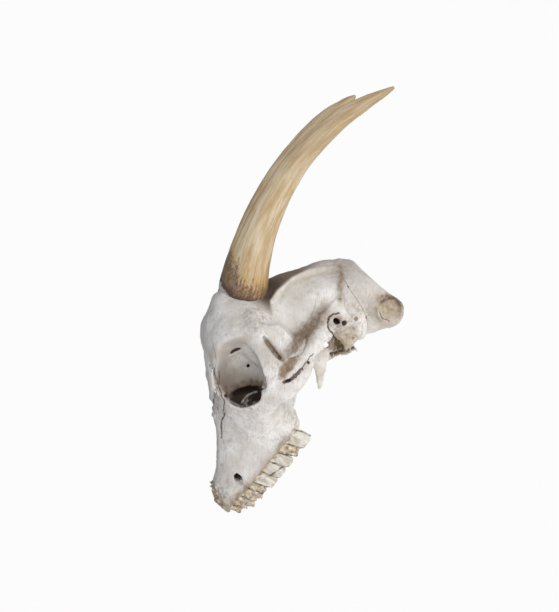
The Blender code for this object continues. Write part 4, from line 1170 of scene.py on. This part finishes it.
for side, side_name in SIDES:
    for name, lobes in (BROKEN_TEETH if side == LEFT else WHOLE_TEETH).items():
        shapes = []
        for x, length, width, tip, _ in lobes:
            shapes.append(tooth_lobe(x, length, width, tip, side))
            for part in (-0.85, 0.0, 0.85) if name.startswith("molar") else ():
                rib = [(x + part * length + CROWN_LEAN * lean, cheek_face(x) - 0.9, z)
                       for z, lean in ((GUM_LINE + 2, 0.0), (7, 0.4), (tip + 1.0, 0.9))]
                shapes.append(rod("rib", sided(rib, side), (0.5, 0.9, 0.6), up=(1, 0, 0)))
        tooth = fuse(f"tooth_{name}_{side_name}", shapes, TOOTH_VOXEL, 2)
        spots_at = read(tooth.data, "co")
        way = read(tooth.data, "normal")
        chips = lumps(spots_at, 2.0, 6, 2)
        # Where each point would lie if the crown stood straight, which is how the lobes are laid out
        upright_x = spots_at[:, 0] - CROWN_LEAN * (1 - np.clip(spots_at[:, 2], 0, GUM_LINE) / GUM_LINE)
        brown = np.zeros(len(spots_at))
        for x, length, _, _, part in lobes:
            brown = np.maximum(brown, part * (1 - ramp(np.abs(upright_x - x), length * 0.85, length * 1.1)))
        stubby = 1.0 if side == LEFT and name.startswith("premolar") else 0.0
        push = (0.25 + 0.45 * brown) * chips - 0.15 - 0.3 * brown + stubby * 1.3 * lumps(spots_at, 3.2, 15, 3)
        spots_at = spots_at + way * push[:, None]
        spots_at[:, 2] = np.maximum(spots_at[:, 2], 0.02)
        height = spots_at[:, 2]
        tooth.data.vertices.foreach_set("co", spots_at.astype(np.float32).ravel())
        gum = ramp(height + 2.4 * chips, GUM_LINE - 3.0, GUM_LINE + 0.5)
        worn = ramp(-way[:, 2], 0.75, 0.95) * ramp(chips, -0.3, 0.1)
        edges = [x + part * length for x, length, _, _, _ in lobes for part in (-1.0, 1.0)]
        # Painted shade in the gaps between the lobes, fainter on the stubs; the cracks on the left second
        # molar join it below
        slot = (1 - 0.6 * stubby) * np.max([fade(upright_x - edge, 0.55) for edge in edges], axis=0)
        if side == LEFT and name == "molar_2":          # a crack across its front half, and one down it
            across = fade(height - 4.4 + 0.35 * (upright_x + 132), 0.5) * ramp(-upright_x, 127.6, 128.6)
            down = fade(upright_x + 136.3, 0.9) * ramp(height, 2.0, 4.0)
            slot = np.max([slot, 1.6 * across, 1.2 * down], axis=0)
        dentine = np.max([brown * (0.75 + 0.5 * chips), 0.75 * gum, 0.6 * worn], axis=0)
        keep_mask(tooth.data, "dentine", np.clip(dentine, 0, 1))
        keep_mask(tooth.data, "slot", np.clip(slot * (0.35 + 0.75 * ramp(chips, -0.3, 0.4)), 0, 1))
        finish(tooth, enamel, "tooth", f"{name}_{side_name}")
